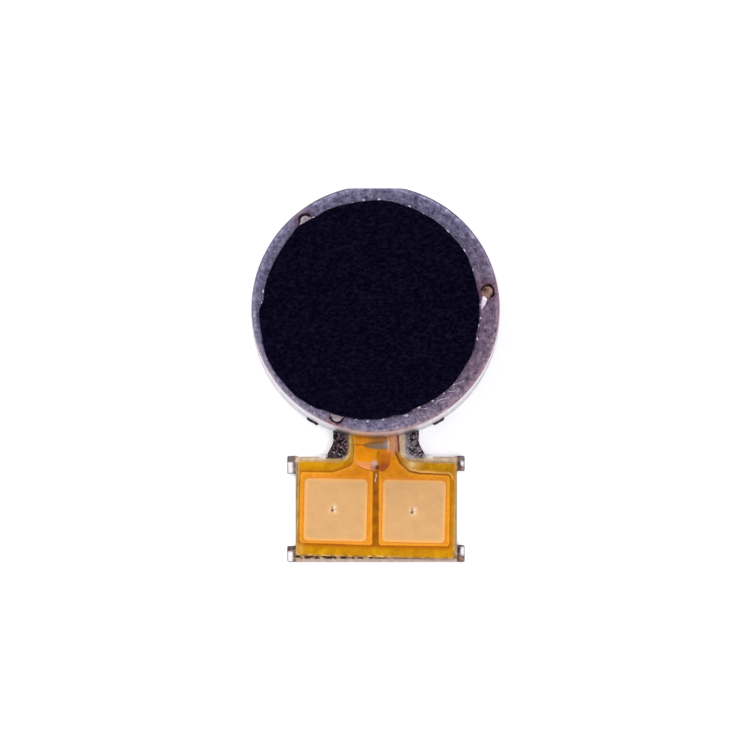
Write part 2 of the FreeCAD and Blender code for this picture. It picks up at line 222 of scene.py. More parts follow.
def tri(outer, holes=(), guides=(), spacing=0.12, clear=0.55):
    """Triangles that fill an outline with holes, following the guide lines, with an even grid between."""
    loops = [outer, *holes]
    pts, edges = [], []
    for loop in [*loops, *[g for g in guides]]:
        k = len(pts)
        pts += [tuple(p) for p in loop]
        edges += [(k + i, k + (i + 1) % len(loop)) for i in range(len(loop))]
    g = hexgrid(outer.min(0), outer.max(0), spacing)
    keep = inside(g, outer)
    for h in holes:
        keep &= ~inside(g, h)
    g = g[keep]
    for loop in [*loops, *guides]:
        if len(g):
            g = g[near(g, loop) > spacing * clear]
    pts += [tuple(p) for p in g]
    v, _, f, *_ = delaunay_2d_cdt([Vector(p) for p in pts], edges, [], 0, 1e-7, False)
    v = np.array([tuple(p) for p in v])
    f = np.array([t for t in f if len(t) == 3])
    c = v[f].mean(1)
    keep = inside(c, outer)
    for h in holes:
        keep &= ~inside(c, h)
    f = f[keep]
    e1, e2 = v[f[:, 1]] - v[f[:, 0]], v[f[:, 2]] - v[f[:, 0]]
    area = np.abs(e1[:, 0] * e2[:, 1] - e1[:, 1] * e2[:, 0])
    return v, f[area > 1e-9]


def rolled(d, r):
    """How far a rounded edge of radius r lies below the face, at distance d from the edge."""
    q = np.clip(r - d, 0, r)
    return r - np.sqrt(np.maximum(r * r - q * q, 0))


def slab(outer, holes=(), guides=(), spacing=0.12, top=None, bottom=None, edge=0.0, edge_low=0.0, rings=3, hole_edge=None):
    """Closed plate: top(x, y, d) and bottom(x, y, d) give its faces, edge its rounded upper edge."""
    lines = list(guides)
    for r in {round(edge, 5), round(edge_low, 5)} - {0.0}:
        for k in range(1, rings + 1):
            d = r * (1 - math.cos(math.pi / 2 * k / rings))
            lines.append(inset(outer, d))
            lines += [inset(h, -d) for h in holes]
    v, f = tri(outer, holes, lines, spacing)
    d = near(v, outer)
    for h in holes:
        d = np.minimum(d, near(v, h))
    zt = (top(v[:, 0], v[:, 1], d) if callable(top) else np.full(len(v), top)) - rolled(d, edge)
    zb = (bottom(v[:, 0], v[:, 1], d) if callable(bottom) else np.full(len(v), bottom)) + rolled(d, edge_low)
    n = len(v)
    verts = np.concatenate([np.c_[v, zt], np.c_[v, zb]])
    count = {}
    for t in f:
        for i in range(3):
            a, b = int(t[i]), int(t[(i + 1) % 3])
            count[(a, b)] = count.get((a, b), 0) + 1
    faces = [tuple(t) for t in f] + [(t[0] + n, t[2] + n, t[1] + n) for t in f]
    for (a, b) in count:
        if (b, a) not in count:
            faces.append((b, a, a + n, b + n))
    return verts, faces


def lathe(profile, n=128, warp=None):
    """Closed body of revolution from a closed (r, z) profile. Points at r 0 become poles."""
    verts, faces, rows = [], [], []
    for r, z in profile:
        if r < 1e-6:
            rows.append([len(verts)] * n)
            verts.append((0.0, 0.0, z))
        else:
            rows.append(list(range(len(verts), len(verts) + n)))
            for k in range(n):
                t = 2 * math.pi * k / n
                verts.append((r * math.cos(t), r * math.sin(t), z))
    m = len(profile)
    for i in range(m):
        a, b = rows[i], rows[(i + 1) % m]
        if a[0] == a[1] and b[0] == b[1]:
            continue
        for k in range(n):
            q = [a[k], a[(k + 1) % n], b[(k + 1) % n], b[k]]
            q = [x for j, x in enumerate(q) if x != q[j - 1]]
            if len(q) > 2:
                faces.append(tuple(q))
    v = np.array(verts)
    if warp is not None:
        v = warp(v)
    return v, faces


def arc(cx, cz, r, a0, a1, n):
    return [(cx + r * math.cos(math.radians(a0 + (a1 - a0) * k / n)), cz + r * math.sin(math.radians(a0 + (a1 - a0) * k / n))) for k in range(n + 1)]


def steps(p, q, n):
    return [(p[0] + (q[0] - p[0]) * k / n, p[1] + (q[1] - p[1]) * k / n) for k in range(1, n)]


def joined(parts):
    verts, faces, k = [], [], 0
    for v, f in parts:
        verts.append(np.asarray(v, float))
        faces += [tuple(int(i) + k for i in t) for t in f]
        k += len(v)
    return np.concatenate(verts), faces


def tube(path, r, sides=10, closed=False, cap=True):
    """Round wire of radius r (or a list of radii) along the points of path."""
    p = np.asarray(path, float)
    n = len(p)
    t = np.roll(p, -1, 0) - np.roll(p, 1, 0)
    if not closed:
        t[0], t[-1] = p[1] - p[0], p[-1] - p[-2]
    t /= np.linalg.norm(t, axis=1)[:, None]
    up = np.array((0.0, 0.0, 1.0)) if abs(t[0][2]) < 0.9 else np.array((1.0, 0.0, 0.0))
    verts = []
    rr = np.full(n, r) if np.isscalar(r) else np.asarray(r)
    for i in range(n):
        u = up - t[i] * (up @ t[i])
        u /= np.linalg.norm(u)
        w = np.cross(t[i], u)
        up = u
        for k in range(sides):
            a = 2 * math.pi * k / sides
            verts.append(p[i] + rr[i] * (math.cos(a) * u + math.sin(a) * w))
    faces = []
    for i in range(n if closed else n - 1):
        j = (i + 1) % n
        for k in range(sides):
            l = (k + 1) % sides
            faces.append((i * sides + k, i * sides + l, j * sides + l, j * sides + k))
    if not closed and cap:
        faces.append(tuple(range(sides))[::-1])
        faces.append(tuple(range((n - 1) * sides, n * sides)))
    return np.array(verts), faces


# ------------------------------------------------------------------ materials
def srgb(r, g, b, k=1.0):
    def lin(c):
        c = c / 255
        return c / 12.92 if c <= 0.04045 else ((c + 0.055) / 1.055) ** 2.4
    return (lin(r) * k, lin(g) * k, lin(b) * k, 1.0)


class Mat:
    """Short way to write a node material. Coordinates are the object's own, in millimetres."""

    def __init__(self, name, **sockets):
        self.m = bpy.data.materials.new(name)
        self.m.use_nodes = True
        self.t = self.m.node_tree
        self.t.nodes.clear()
        self.out = self.t.nodes.new("ShaderNodeOutputMaterial")
        self.b = self.t.nodes.new("ShaderNodeBsdfPrincipled")
        self.t.links.new(self.b.outputs[0], self.out.inputs[0])
        for k, v in sockets.items():
            self.b.inputs[k.replace("_", " ")].default_value = v
        tc = self.t.nodes.new("ShaderNodeTexCoord")
        self.p = self.vec("SCALE", tc.outputs["Object"], scale=1000.0)

    def put(self, socket, v):
        if v is None:
            return
        if isinstance(v, bpy.types.NodeSocket):
            self.t.links.new(v, socket)
        elif socket.type == "VECTOR" and not hasattr(v, "__len__"):
            socket.default_value = (v, v, v)
        elif socket.type == "RGBA" and len(v) == 3:
            socket.default_value = (*v, 1.0)
        else:
            socket.default_value = v

    def vec(self, op, a, b=None, scale=None):
        n = self.t.nodes.new("ShaderNodeVectorMath")
        n.operation = op
        self.put(n.inputs[0], a)
        if b is not None:
            self.put(n.inputs[1], b)
        if scale is not None:
            self.put(n.inputs["Scale"], scale)
        return n.outputs["Value"] if op in ("LENGTH", "DOT_PRODUCT", "DISTANCE") else n.outputs["Vector"]

    def math(self, op, a, b=None, c=None, clamp=False):
        n = self.t.nodes.new("ShaderNodeMath")
        n.operation, n.use_clamp = op, clamp
        self.put(n.inputs[0], a)
        if b is not None:
            self.put(n.inputs[1], b)
        if c is not None:
            self.put(n.inputs[2], c)
        return n.outputs[0]

    def add(self, a, b): return self.math("ADD", a, b)
    def sub(self, a, b): return self.math("SUBTRACT", a, b)
    def mul(self, a, b): return self.math("MULTIPLY", a, b)
    def mx(self, a, b): return self.math("MAXIMUM", a, b)
    def mn(self, a, b): return self.math("MINIMUM", a, b)

    def noise(self, scale, detail=2.0, rough=0.5, vec=None, distort=0.0, normalize=True):
        n = self.t.nodes.new("ShaderNodeTexNoise")
        n.noise_dimensions = "3D"
        n.normalize = normalize
        self.put(n.inputs["Vector"], vec or self.p)
        n.inputs["Scale"].default_value = scale
        n.inputs["Detail"].default_value = detail
        n.inputs["Roughness"].default_value = rough
        n.inputs["Distortion"].default_value = distort
        return n.outputs[0]

    def voronoi(self, scale, feature="F1", vec=None, random=1.0, smooth=None, out="Distance"):
        n = self.t.nodes.new("ShaderNodeTexVoronoi")
        n.feature = feature
        self.put(n.inputs["Vector"], vec or self.p)
        n.inputs["Scale"].default_value = scale
        n.inputs["Randomness"].default_value = random
        if smooth is not None:
            n.inputs["Smoothness"].default_value = smooth
        return n.outputs[out]

    def wave(self, scale, vec=None, distort=0.0, detail=2.0, dscale=1.0, direction="X", profile="SIN", kind="BANDS"):
        n = self.t.nodes.new("ShaderNodeTexWave")
        n.wave_type = kind
        if kind == "BANDS":
            n.bands_direction = direction
        else:
            n.rings_direction = direction
        n.wave_profile = profile
        self.put(n.inputs["Vector"], vec or self.p)
        n.inputs["Scale"].default_value = scale
        n.inputs["Distortion"].default_value = distort
        n.inputs["Detail"].default_value = detail
        n.inputs["Detail Scale"].default_value = dscale
        return n.outputs["Fac"]

    def remap(self, v, a, b, c=0.0, d=1.0, kind="LINEAR"):
        n = self.t.nodes.new("ShaderNodeMapRange")
        n.interpolation_type = kind
        n.clamp = True if kind == "LINEAR" else n.clamp
        self.put(n.inputs[0], v)
        for i, x in zip((1, 2, 3, 4), (a, b, c, d)):
            self.put(n.inputs[i], x)
        return n.outputs[0]

    def ramp(self, v, stops, kind="LINEAR"):
        n = self.t.nodes.new("ShaderNodeValToRGB")
        n.color_ramp.interpolation = kind
        el = n.color_ramp.elements
        while len(el) < len(stops):
            el.new(0.5)
        for e, (pos, col) in zip(el, stops):
            e.position = pos
            e.color = col if hasattr(col, "__len__") else (col, col, col, 1)
        self.put(n.inputs[0], v)
        return n.outputs[0]

    def mix(self, f, a, b, kind="MIX"):
        n = self.t.nodes.new("ShaderNodeMix")
        n.data_type, n.blend_type = "RGBA", kind
        self.put(n.inputs[0], f)
        self.put(n.inputs[6], a)
        self.put(n.inputs[7], b)
        return n.outputs[2]

    def attr(self, name, color=False):
        n = self.t.nodes.new("ShaderNodeAttribute")
        n.attribute_type, n.attribute_name = "GEOMETRY", name
        return n.outputs["Color"] if color else n.outputs["Fac"]

    def xyz(self, v=None):
        n = self.t.nodes.new("ShaderNodeSeparateXYZ")
        self.put(n.inputs[0], v or self.p)
        return n.outputs[0], n.outputs[1], n.outputs[2]

    def comb(self, x, y, z):
        n = self.t.nodes.new("ShaderNodeCombineXYZ")
        for i, v in enumerate((x, y, z)):
            self.put(n.inputs[i], v)
        return n.outputs[0]

    def hsv(self, col, h=0.5, s=1.0, v=1.0):
        n = self.t.nodes.new("ShaderNodeHueSaturation")
        self.put(n.inputs["Hue"], h)
        self.put(n.inputs["Saturation"], s)
        self.put(n.inputs["Value"], v)
        self.put(n.inputs["Color"], col)
        return n.outputs[0]

    def bump(self, height, depth, strength=1.0, normal=None):
        """depth: millimetres for a height of 0 to 1."""
        n = self.t.nodes.new("ShaderNodeBump")
        n.inputs["Strength"].default_value = strength
        n.inputs["Distance"].default_value = depth * MM
        self.put(n.inputs["Height"], height)
        if normal is not None:
            self.put(n.inputs["Normal"], normal)
        return n.outputs[0]

    def radial(self, cx=0.0, cy=0.0):
        """Distance and angle (turns, 0 to 1) about a vertical line."""
        x, y, _ = self.xyz(self.vec("SUBTRACT", self.p, (cx, cy, 0.0)))
        r = self.math("SQRT", self.add(self.mul(x, x), self.mul(y, y)))
        a = self.math("DIVIDE", self.math("ARCTAN2", y, x), 2 * math.pi)
        return r, a

    def polar(self, kr=1.0, ka=1.0, kz=1.0):
        """Coordinates that run round the axis: (cos, sin) by ka, radius by kr in the third place, with z mixed in."""
        x, y, z = self.xyz()
        r = self.math("SQRT", self.add(self.mul(x, x), self.mul(y, y)))
        ux, uy = self.math("DIVIDE", x, self.mx(r, 0.05)), self.math("DIVIDE", y, self.mx(r, 0.05))
        return self.comb(self.mul(ux, ka), self.mul(uy, ka), self.add(self.mul(r, kr), self.mul(z, kz)))

    def set(self, **links):
        for k, v in links.items():
            self.put(self.b.inputs[k.replace("_", " ")], v)
        return self.m


# ------------------------------------------------------------------ camera, light, floor
TILT = math.radians(5.0)
cam_data = bpy.data.cameras.new("camera")
cam_data.lens, cam_data.sensor_width = 1500.0, 36.0
cam_data.clip_start, cam_data.clip_end = 0.01, 10.0
camera = bpy.data.objects.new("camera", cam_data)
scene.collection.objects.link(camera)
REACH = 1256.4
camera.location = Vector((-0.0225, -2.662 - REACH * math.sin(TILT), 2.765 + REACH * math.cos(TILT))) * MM
camera.rotation_euler = (TILT, 0.0, 0.0)
scene.camera = camera

world = bpy.data.worlds.new("studio")
scene.world = world
world.use_nodes = True
wt = world.node_tree
wt.nodes.clear()
w_out = wt.nodes.new("ShaderNodeOutputWorld")
w_bg = wt.nodes.new("ShaderNodeBackground")
w_tc = wt.nodes.new("ShaderNodeTexCoord")
w_sep = wt.nodes.new("ShaderNodeSeparateXYZ")
w_ramp = wt.nodes.new("ShaderNodeValToRGB")
wt.links.new(w_tc.outputs["Generated"], w_sep.inputs[0])
wt.links.new(w_sep.outputs[2], w_ramp.inputs[0])
wt.links.new(w_ramp.outputs[0], w_bg.inputs[0])
wt.links.new(w_bg.outputs[0], w_out.inputs[0])
w_bg.inputs[1].default_value = 1.0
# height of the direction (sine of the elevation) to brightness: light walls all round, a darker ceiling
SKY = [(0.0, 0.80), (0.45, 0.74), (0.72, 0.66), (0.86, 0.50), (0.94, 0.35), (1.0, 0.32)]
el = w_ramp.color_ramp.elements
while len(el) < len(SKY):
    el.new(0.5)
for e, (s, v) in zip(el, SKY):
    e.position = s
    e.color = (v * 0.995, v * 0.985, v * 1.02, 1.0)


def softbox(name, place, size, power, colour=(1.0, 1.0, 1.0)):
    d = bpy.data.lights.new(name, "AREA")
    d.shape, d.size, d.size_y, d.energy, d.color = "RECTANGLE", size[0] * MM, size[1] * MM, power, colour
    o = bpy.data.objects.new(name, d)
    scene.collection.objects.link(o)
    o.location = Vector(place) * MM
    o.rotation_euler = (Vector((0, -2.5, 1.5)) * MM - o.location).to_track_quat("-Z", "Y").to_euler()
    return o


key = softbox("key_softbox", (-60, 70, 110), (90, 90), 0.100, (1.0, 0.985, 0.97))
fill = softbox("fill_softbox", (80, -60, 100), (90, 90), 0.072, (0.98, 0.985, 1.0))
for lamp in (key, fill):
    lamp.visible_glossy = False

fm = Mat("pale_floor", Roughness=0.7, Specular_IOR_Level=0.2, Emission_Strength=0.34)
fm.b.inputs["Emission Color"].default_value = (1, 1, 1, 1)
fm.set(Base_Color=fm.mix(fm.noise(0.06, 3.0), (0.90, 0.90, 0.905, 1), (0.93, 0.93, 0.93, 1)))
bm = bmesh.new()
bmesh.ops.create_grid(bm, x_segments=8, y_segments=8, size=0.6)
fme = bpy.data.meshes.new("floor")
bm.to_mesh(fme)
bm.free()
fme.materials.append(fm.m)
floor = bpy.data.objects.new("floor", fme)
floor.location = (0, 0, -0.00002)
scene.collection.objects.link(floor)


# ------------------------------------------------------------------ dimensions shared with the frame
CAN_R, TOP, SHEET, EDGE = 5.00, 3.00, 0.20, 0.24
FLAT_Y = 4.86
NOTCHES = (239.5, 300.5, 59.5, 120.5)
NOTCH_W, NOTCH_Z = 0.54, 0.56
WELDS = ((8.7, 4.55), (128.5, 4.52), (250.4, 4.62))
WELD_R = 0.28
WELD_XY = [(r * math.cos(math.radians(a)), r * math.sin(math.radians(a))) for a, r in WELDS]
FOAM_C = (-0.163, -0.076)


# ------------------------------------------------------------------ can
def solid(name, verts, faces):
    me = bpy.data.meshes.new(name)
    me.from_pydata([tuple(float(c) for c in v) for v in verts], [], [tuple(int(i) for i in f) for f in faces])
    bm = bmesh.new()
    bm.from_mesh(me)
    bmesh.ops.remove_doubles(bm, verts=bm.verts, dist=1e-5)
    bmesh.ops.recalc_face_normals(bm, faces=bm.faces)
    bm.to_mesh(me)
    bm.free()
    ob = bpy.data.objects.new(name, me)
    scene.collection.objects.link(ob)
    return ob


def brick(name, x0, x1, y0, y1, z0, z1, angle=0.0):
    v = np.array([(x, y, z) for x in (x0, x1) for y in (y0, y1) for z in (z0, z1)], float)
    c, s = math.cos(math.radians(angle)), math.sin(math.radians(angle))
    v = np.c_[v[:, 0] * c - v[:, 1] * s, v[:, 0] * s + v[:, 1] * c, v[:, 2]]
    f = [(0, 1, 3, 2), (4, 6, 7, 5), (0, 4, 5, 1), (2, 3, 7, 6), (0, 2, 6, 4), (1, 5, 7, 3)]
    return solid(name, v, f)


def carve(target, cutters):
    """Boolean difference, with the result kept as target's own mesh and the cutters removed."""
    for c in cutters:
        m = target.modifiers.new("cut", "BOOLEAN")
        m.operation, m.solver, m.object = "DIFFERENCE", "EXACT", c
    dg = bpy.context.evaluated_depsgraph_get()
    me = bpy.data.meshes.new_from_object(target.evaluated_get(dg))
    target.modifiers.clear()
    old = target.data
    target.data = me
    bpy.data.meshes.remove(old)
    for c in cutters:
        d = c.data
        bpy.data.objects.remove(c)
        bpy.data.meshes.remove(d)
    return target


N_CAN = 240
outer_profile = [(0, 0), *steps((0, 0), (CAN_R - 0.02, 0), 6), (CAN_R - 0.02, 0), (CAN_R, 0.02),
                 *steps((CAN_R, 0.02), (CAN_R, TOP - EDGE), 8),
                 *arc(CAN_R - EDGE, TOP - EDGE, EDGE, 0, 90, 10),
                 *steps((CAN_R - EDGE, TOP), (0, TOP), 16), (0, TOP)]
can = solid("can_work", *lathe(outer_profile, N_CAN))
ri = CAN_R - SHEET
inner_profile = [(0, -0.5), (ri, -0.5), *steps((ri, -0.5), (ri, TOP - SHEET - 0.06), 7),
                 *arc(ri - 0.06, TOP - SHEET - 0.06, 0.06, 0, 90, 3),
                 *steps((ri - 0.06, TOP - SHEET), (0, TOP - SHEET), 8), (0, TOP - SHEET)]
cavity = solid("cavity_work", *lathe(inner_profile, N_CAN))
carve(cavity, [brick("cut_a", -3, 3, FLAT_Y - SHEET, 6, -1, 4)])
carve(can, [brick("cut_b", -3, 3, FLAT_Y, 6, -1, 4)])
cuts = [cavity]
op = outline([(-1.80, -1.0), (1.84, -1.0), (1.84, 0.44, 0.10), (-1.80, 0.44, 0.10)], 9, 0.02)
k = len(op)
cuts.append(solid("cut_c", np.array([(p[0], y, p[1]) for y in (-6.0, -3.6) for p in op]),
                  [tuple(range(k)), tuple(range(k, 2 * k))[::-1]] + [(i, (i + 1) % k, k + (i + 1) % k, k + i) for i in range(k)]))
for i, a in enumerate(NOTCHES):
    cuts.append(brick("cut_n%d" % i, 4.5, 5.3, -NOTCH_W / 2, NOTCH_W / 2, -1, NOTCH_Z, a))
for i, (x, y) in enumerate(WELD_XY):
    v, f = lathe([(0, TOP - 0.10), (WELD_R, TOP - 0.10), (WELD_R, 4), (0, 4)], 36)
    cuts.append(solid("cut_w%d" % i, v + np.array((x, y, 0)), f))
carve(can, cuts)


def chamfered(ob, width, angle=50, segments=2, where=None):
    """Small rounds on the sharp edges that a cut has left."""
    bm = bmesh.new()
    bm.from_mesh(ob.data)
    bmesh.ops.remove_doubles(bm, verts=bm.verts, dist=2e-5)
    bmesh.ops.dissolve_degenerate(bm, edges=bm.edges, dist=1e-4)
    edges = [e for e in bm.edges if len(e.link_faces) == 2 and e.calc_face_angle(0) > math.radians(angle)
             and (where is None or all(where(v.co) for v in e.verts))]
    bmesh.ops.bevel(bm, geom=edges, offset=width, offset_type="OFFSET", segments=segments, affect="EDGES", clamp_overlap=True, profile=0.5)
    bmesh.ops.remove_doubles(bm, verts=bm.verts, dist=1e-5)
    bm.to_mesh(ob.data)
    bm.free()


chamfered(can, 0.012, 50, 2, lambda c: c.z > 0.5 and math.hypot(c.x, c.y) > 4.0)

m = Mat("can_steel_drawn")
x, y, z = m.xyz()
r, turn = m.radial()
top_face = m.remap(z, 2.66, 2.82)           # 1 on the flat top and its rounded edge, 0 on the drawn wall
wall = m.remap(z, 2.86, 2.70)
big = m.noise(1.1, 3.0, 0.6)
mottle = m.noise(5.5, 4.0, 0.62)
fine = m.noise(17.0, 3.0, 0.7)
specks = m.voronoi(7.5, "F1", vec=m.vec("ADD", m.p, m.vec("SCALE", m.noise(6.0, 2.0), scale=0.35)))
streak = m.noise(1.0, 4.0, 0.65, vec=m.polar(kr=16.0, ka=5.0, kz=0.0))
base = m.ramp(m.add(m.mul(mottle, 0.52), m.add(m.mul(m.noise(12.0, 3.0, 0.7), 0.26), m.mul(streak, 0.22))), [(0.37, srgb(80, 76, 106)), (0.47, srgb(144, 138, 174)), (0.55, srgb(178, 170, 209)), (0.67, srgb(246, 238, 255))])
pale = m.remap(specks, 0.16, 0.03)
base = m.mix(m.mul(pale, m.mul(m.remap(fine, 0.45, 0.62), 0.75)), base, srgb(252, 246, 255))
base = m.mix(m.mul(m.remap(m.voronoi(6.2, "F1", vec=m.vec("ADD", m.p, (3.1, 7.7, 1.3))), 0.15, 0.04), 0.55), base, srgb(64, 60, 84))
facing = m.math("DIVIDE", y, m.mx(r, 0.1))
# painted glints: white, non-metallic specks on the flat top near the rim, more of them on the tail side
can_painted_glint = m.mul(m.remap(m.voronoi(13.0, "F1", vec=m.vec("ADD", m.p, (1.7, 0.4, 5.1))), 0.17, 0.07), m.remap(m.add(m.noise(3.1, 2.0), m.remap(facing, -0.55, -0.85, 0.0, 0.06)), 0.53, 0.60))
can_painted_glint = m.mul(can_painted_glint, m.mul(m.remap(r, 4.84, 4.74), m.remap(facing, 0.95, -0.8, 0.45, 1.0)))
base = m.mix(m.mul(m.remap(r, 4.78, 4.87), m.remap(facing, 0.3, -0.5)), base, m.mix(1.0, base, (0.93, 0.89, 0.77, 1.0), "MULTIPLY"))
pink = m.remap(m.math("DIVIDE", m.add(m.mul(x, 0.92), m.mul(y, -0.39)), m.mx(r, 0.1)), 0.35, 1.0)
base = m.mix(m.mul(pink, 0.8), base, m.mix(1.0, base, (1.22, 0.90, 0.80, 1.0), "MULTIPLY"))
# painted sheen: the top near the rim lighter on the tail side
low_rim_sheen = m.mul(m.remap(facing, -0.50, -0.90), m.mul(m.remap(r, 4.50, 4.64), m.remap(r, 4.86, 4.80)))
base = m.mix(low_rim_sheen, base, m.mix(1.0, base, (1.36, 1.36, 1.30, 1.0), "MULTIPLY"))
# painted shade: the rounded edge darkened, most on the side away from the tail
fillet = m.mul(m.remap(z, 2.958, 2.905), m.remap(z, 2.52, 2.70))
fillet_shade = m.comb(m.remap(facing, -0.9, 0.7, 0.92, 0.26), m.remap(facing, -0.9, 0.7, 0.87, 0.25), m.remap(facing, -0.9, 0.7, 0.76, 0.23))
base = m.mix(fillet, base, m.mix(1.0, base, fillet_shade, "MULTIPLY"))
wall_tone = m.ramp(m.noise(1.0, 3.0, 0.6, vec=m.polar(kr=0.0, ka=34.0, kz=0.6)), [(0.30, srgb(150, 147, 158)), (0.70, srgb(205, 201, 210))])
base = m.mix(m.sub(1.0, top_face), base, m.mix(m.mul(m.remap(fine, 0.35, 0.7), 0.25), wall_tone, srgb(140, 136, 152)))
for (wx, wy) in WELD_XY:
    wr, _ = m.radial(wx, wy)
    tint = m.mul(m.remap(m.add(wr, m.mul(m.sub(fine, 0.5), 0.22)), 0.62, 0.28), m.remap(z, 2.4, 2.9))
    base = m.mix(m.mul(tint, 0.62), base, srgb(150, 96, 112))
    # painted shade: a dark crescent at the edge of each weld pocket, on the side away from the can's centre
    pocket_edge_shade = m.mul(m.remap(m.add(wr, m.mul(m.sub(mottle, 0.5), 0.20)), 0.335, 0.295), m.remap(m.math("DIVIDE", m.add(m.mul(m.sub(x, wx), wx), m.mul(m.sub(y, wy), wy)), 4.6), -0.08, 0.06))
    base = m.mix(m.mul(pocket_edge_shade, 0.85), base, srgb(44, 24, 34))
# the painted glints laid over the colour
base = m.mix(m.mul(can_painted_glint, 0.9), base, srgb(246, 242, 250))
# painted sheen: the upper part of the wall lighter and less metallic, strongest on the tail side
line = m.mul(m.mul(m.remap(z, 2.88, 2.80), m.remap(z, 0.9, 2.3, kind="SMOOTHSTEP")), m.remap(facing, 0.3, -0.8, 0.30, 1.0, kind="SMOOTHSTEP"))
base = m.mix(m.mul(line, 0.80), base, m.mix(0.30, srgb(232, 222, 232), wall_tone))
rough = m.add(m.mul(top_face, m.remap(mottle, 0.3, 0.7, 0.30, 0.46)), m.mul(m.sub(1.0, top_face), m.remap(fine, 0.3, 0.7, 0.26, 0.36)))
relief = m.add(m.mul(fine, 0.5), m.add(m.mul(mottle, 0.9), m.mul(pale, 0.5)))
b1 = m.bump(relief, 0.010, 0.75)
draw = m.noise(1.0, 3.0, 0.6, vec=m.polar(kr=0.0, ka=90.0, kz=0.5))
# Metallic drops at the painted glints and at the painted sheen of the wall
CAN_MAT = m.set(Base_Color=base, Metallic=m.sub(1.0, m.mx(m.mul(can_painted_glint, 0.75), m.mul(line, 0.62))), Roughness=rough, Normal=m.bump(m.mul(draw, wall), 0.004, 0.6, b1))


vv = np.array([v.co for v in can.data.vertices])
ff = [tuple(p.vertices) for p in can.data.polygons]
d = can.data
bpy.data.objects.remove(can)
bpy.data.meshes.remove(d)
can = make("can_shell", vv, ff, "housing", CAN_MAT, ["case"], smooth=32)

# ------------------------------------------------------------------ foam and its glue
RADII = [4.345, 4.380, 4.340, 4.350, 4.380, 4.430, 4.420, 4.395, 4.420, 4.425, 4.415, 4.435, 4.420, 4.445, 4.450, 4.425, 4.405, 4.385, 4.405, 4.420,
         4.380, 4.435, 4.490, 4.420, 4.380, 4.370, 4.370, 4.380, 4.400, 4.360, 4.520, 4.515, 4.530, 4.580, 4.620, 4.620, 4.610, 4.600, 4.610, 4.575,
         4.535, 4.450, 4.460, 4.430, 4.430, 4.410, 4.400, 4.340, 4.400, 4.320, 4.360, 4.380, 4.420, 4.420, 4.410, 4.380, 4.420, 4.370, 4.310, 4.345]


def around(n, values):
    t = np.arange(n) * len(values) / n
    i = t.astype(int)
    f = t - i
    f = f * f * (3 - 2 * f)
    v = np.array(values)
    return v[i % len(v)] * (1 - f) + v[(i + 1) % len(v)] * f


NF = 360
ang = np.arange(NF) * 2 * math.pi / NF
fr = around(NF, RADII) + 0.012 * bumps(np.cos(ang) * 4.4, np.sin(ang) * 4.4, seed=3, scale=1.1, octaves=3)
foam_line = circle(0, *FOAM_C, n=NF, radii=fr)


def foam_top(x, y, d):
    return 3.292 - 0.018 * np.exp(-d / 0.18) + 0.004 * bumps(x, y, seed=5, scale=0.16, octaves=2) + 0.003 * bumps(x, y, seed=6, scale=1.6, octaves=2)


v, f = slab(foam_line, spacing=0.11, top=foam_top, bottom=3.05, edge=0.055, edge_low=0.02, rings=3)
m = Mat("foam_black_cellular", Specular_IOR_Level=0.03)
fx, fy, fz = m.xyz()
woven = m.comb(m.mul(fx, 0.75), m.mul(fy, 1.25), fz)
cell = m.voronoi(6.6, "F1", vec=m.vec("ADD", woven, m.vec("SCALE", m.noise(5.0, 3.0, 0.7), scale=0.42)))
ripple = m.noise(7.4, 4.0, 0.72, vec=woven)
grain = m.noise(15.0, 3.0, 0.7)
mix1 = m.add(m.mul(m.remap(cell, 0.05, 0.75), 0.28), m.add(m.mul(m.remap(ripple, 0.30, 0.70), 0.42), m.mul(m.remap(grain, 0.30, 0.70), 0.30)))
base = m.ramp(mix1, [(0.28, srgb(0, 0, 8)), (0.50, srgb(5, 3, 18)), (0.80, srgb(21, 17, 39))])
base = m.mix(m.mul(m.remap(m.noise(0.45, 3.0), 0.4, 0.7), 0.12), base, srgb(11, 8, 22))
FOAM_MAT = m.set(Base_Color=base, Roughness=m.remap(grain, 0.3, 0.7, 0.80, 0.97), Normal=m.bump(mix1, 0.030, 0.9))
foam = make("foam_cushion", v, f, "housing", FOAM_MAT, ["foam_pad"], smooth=55)


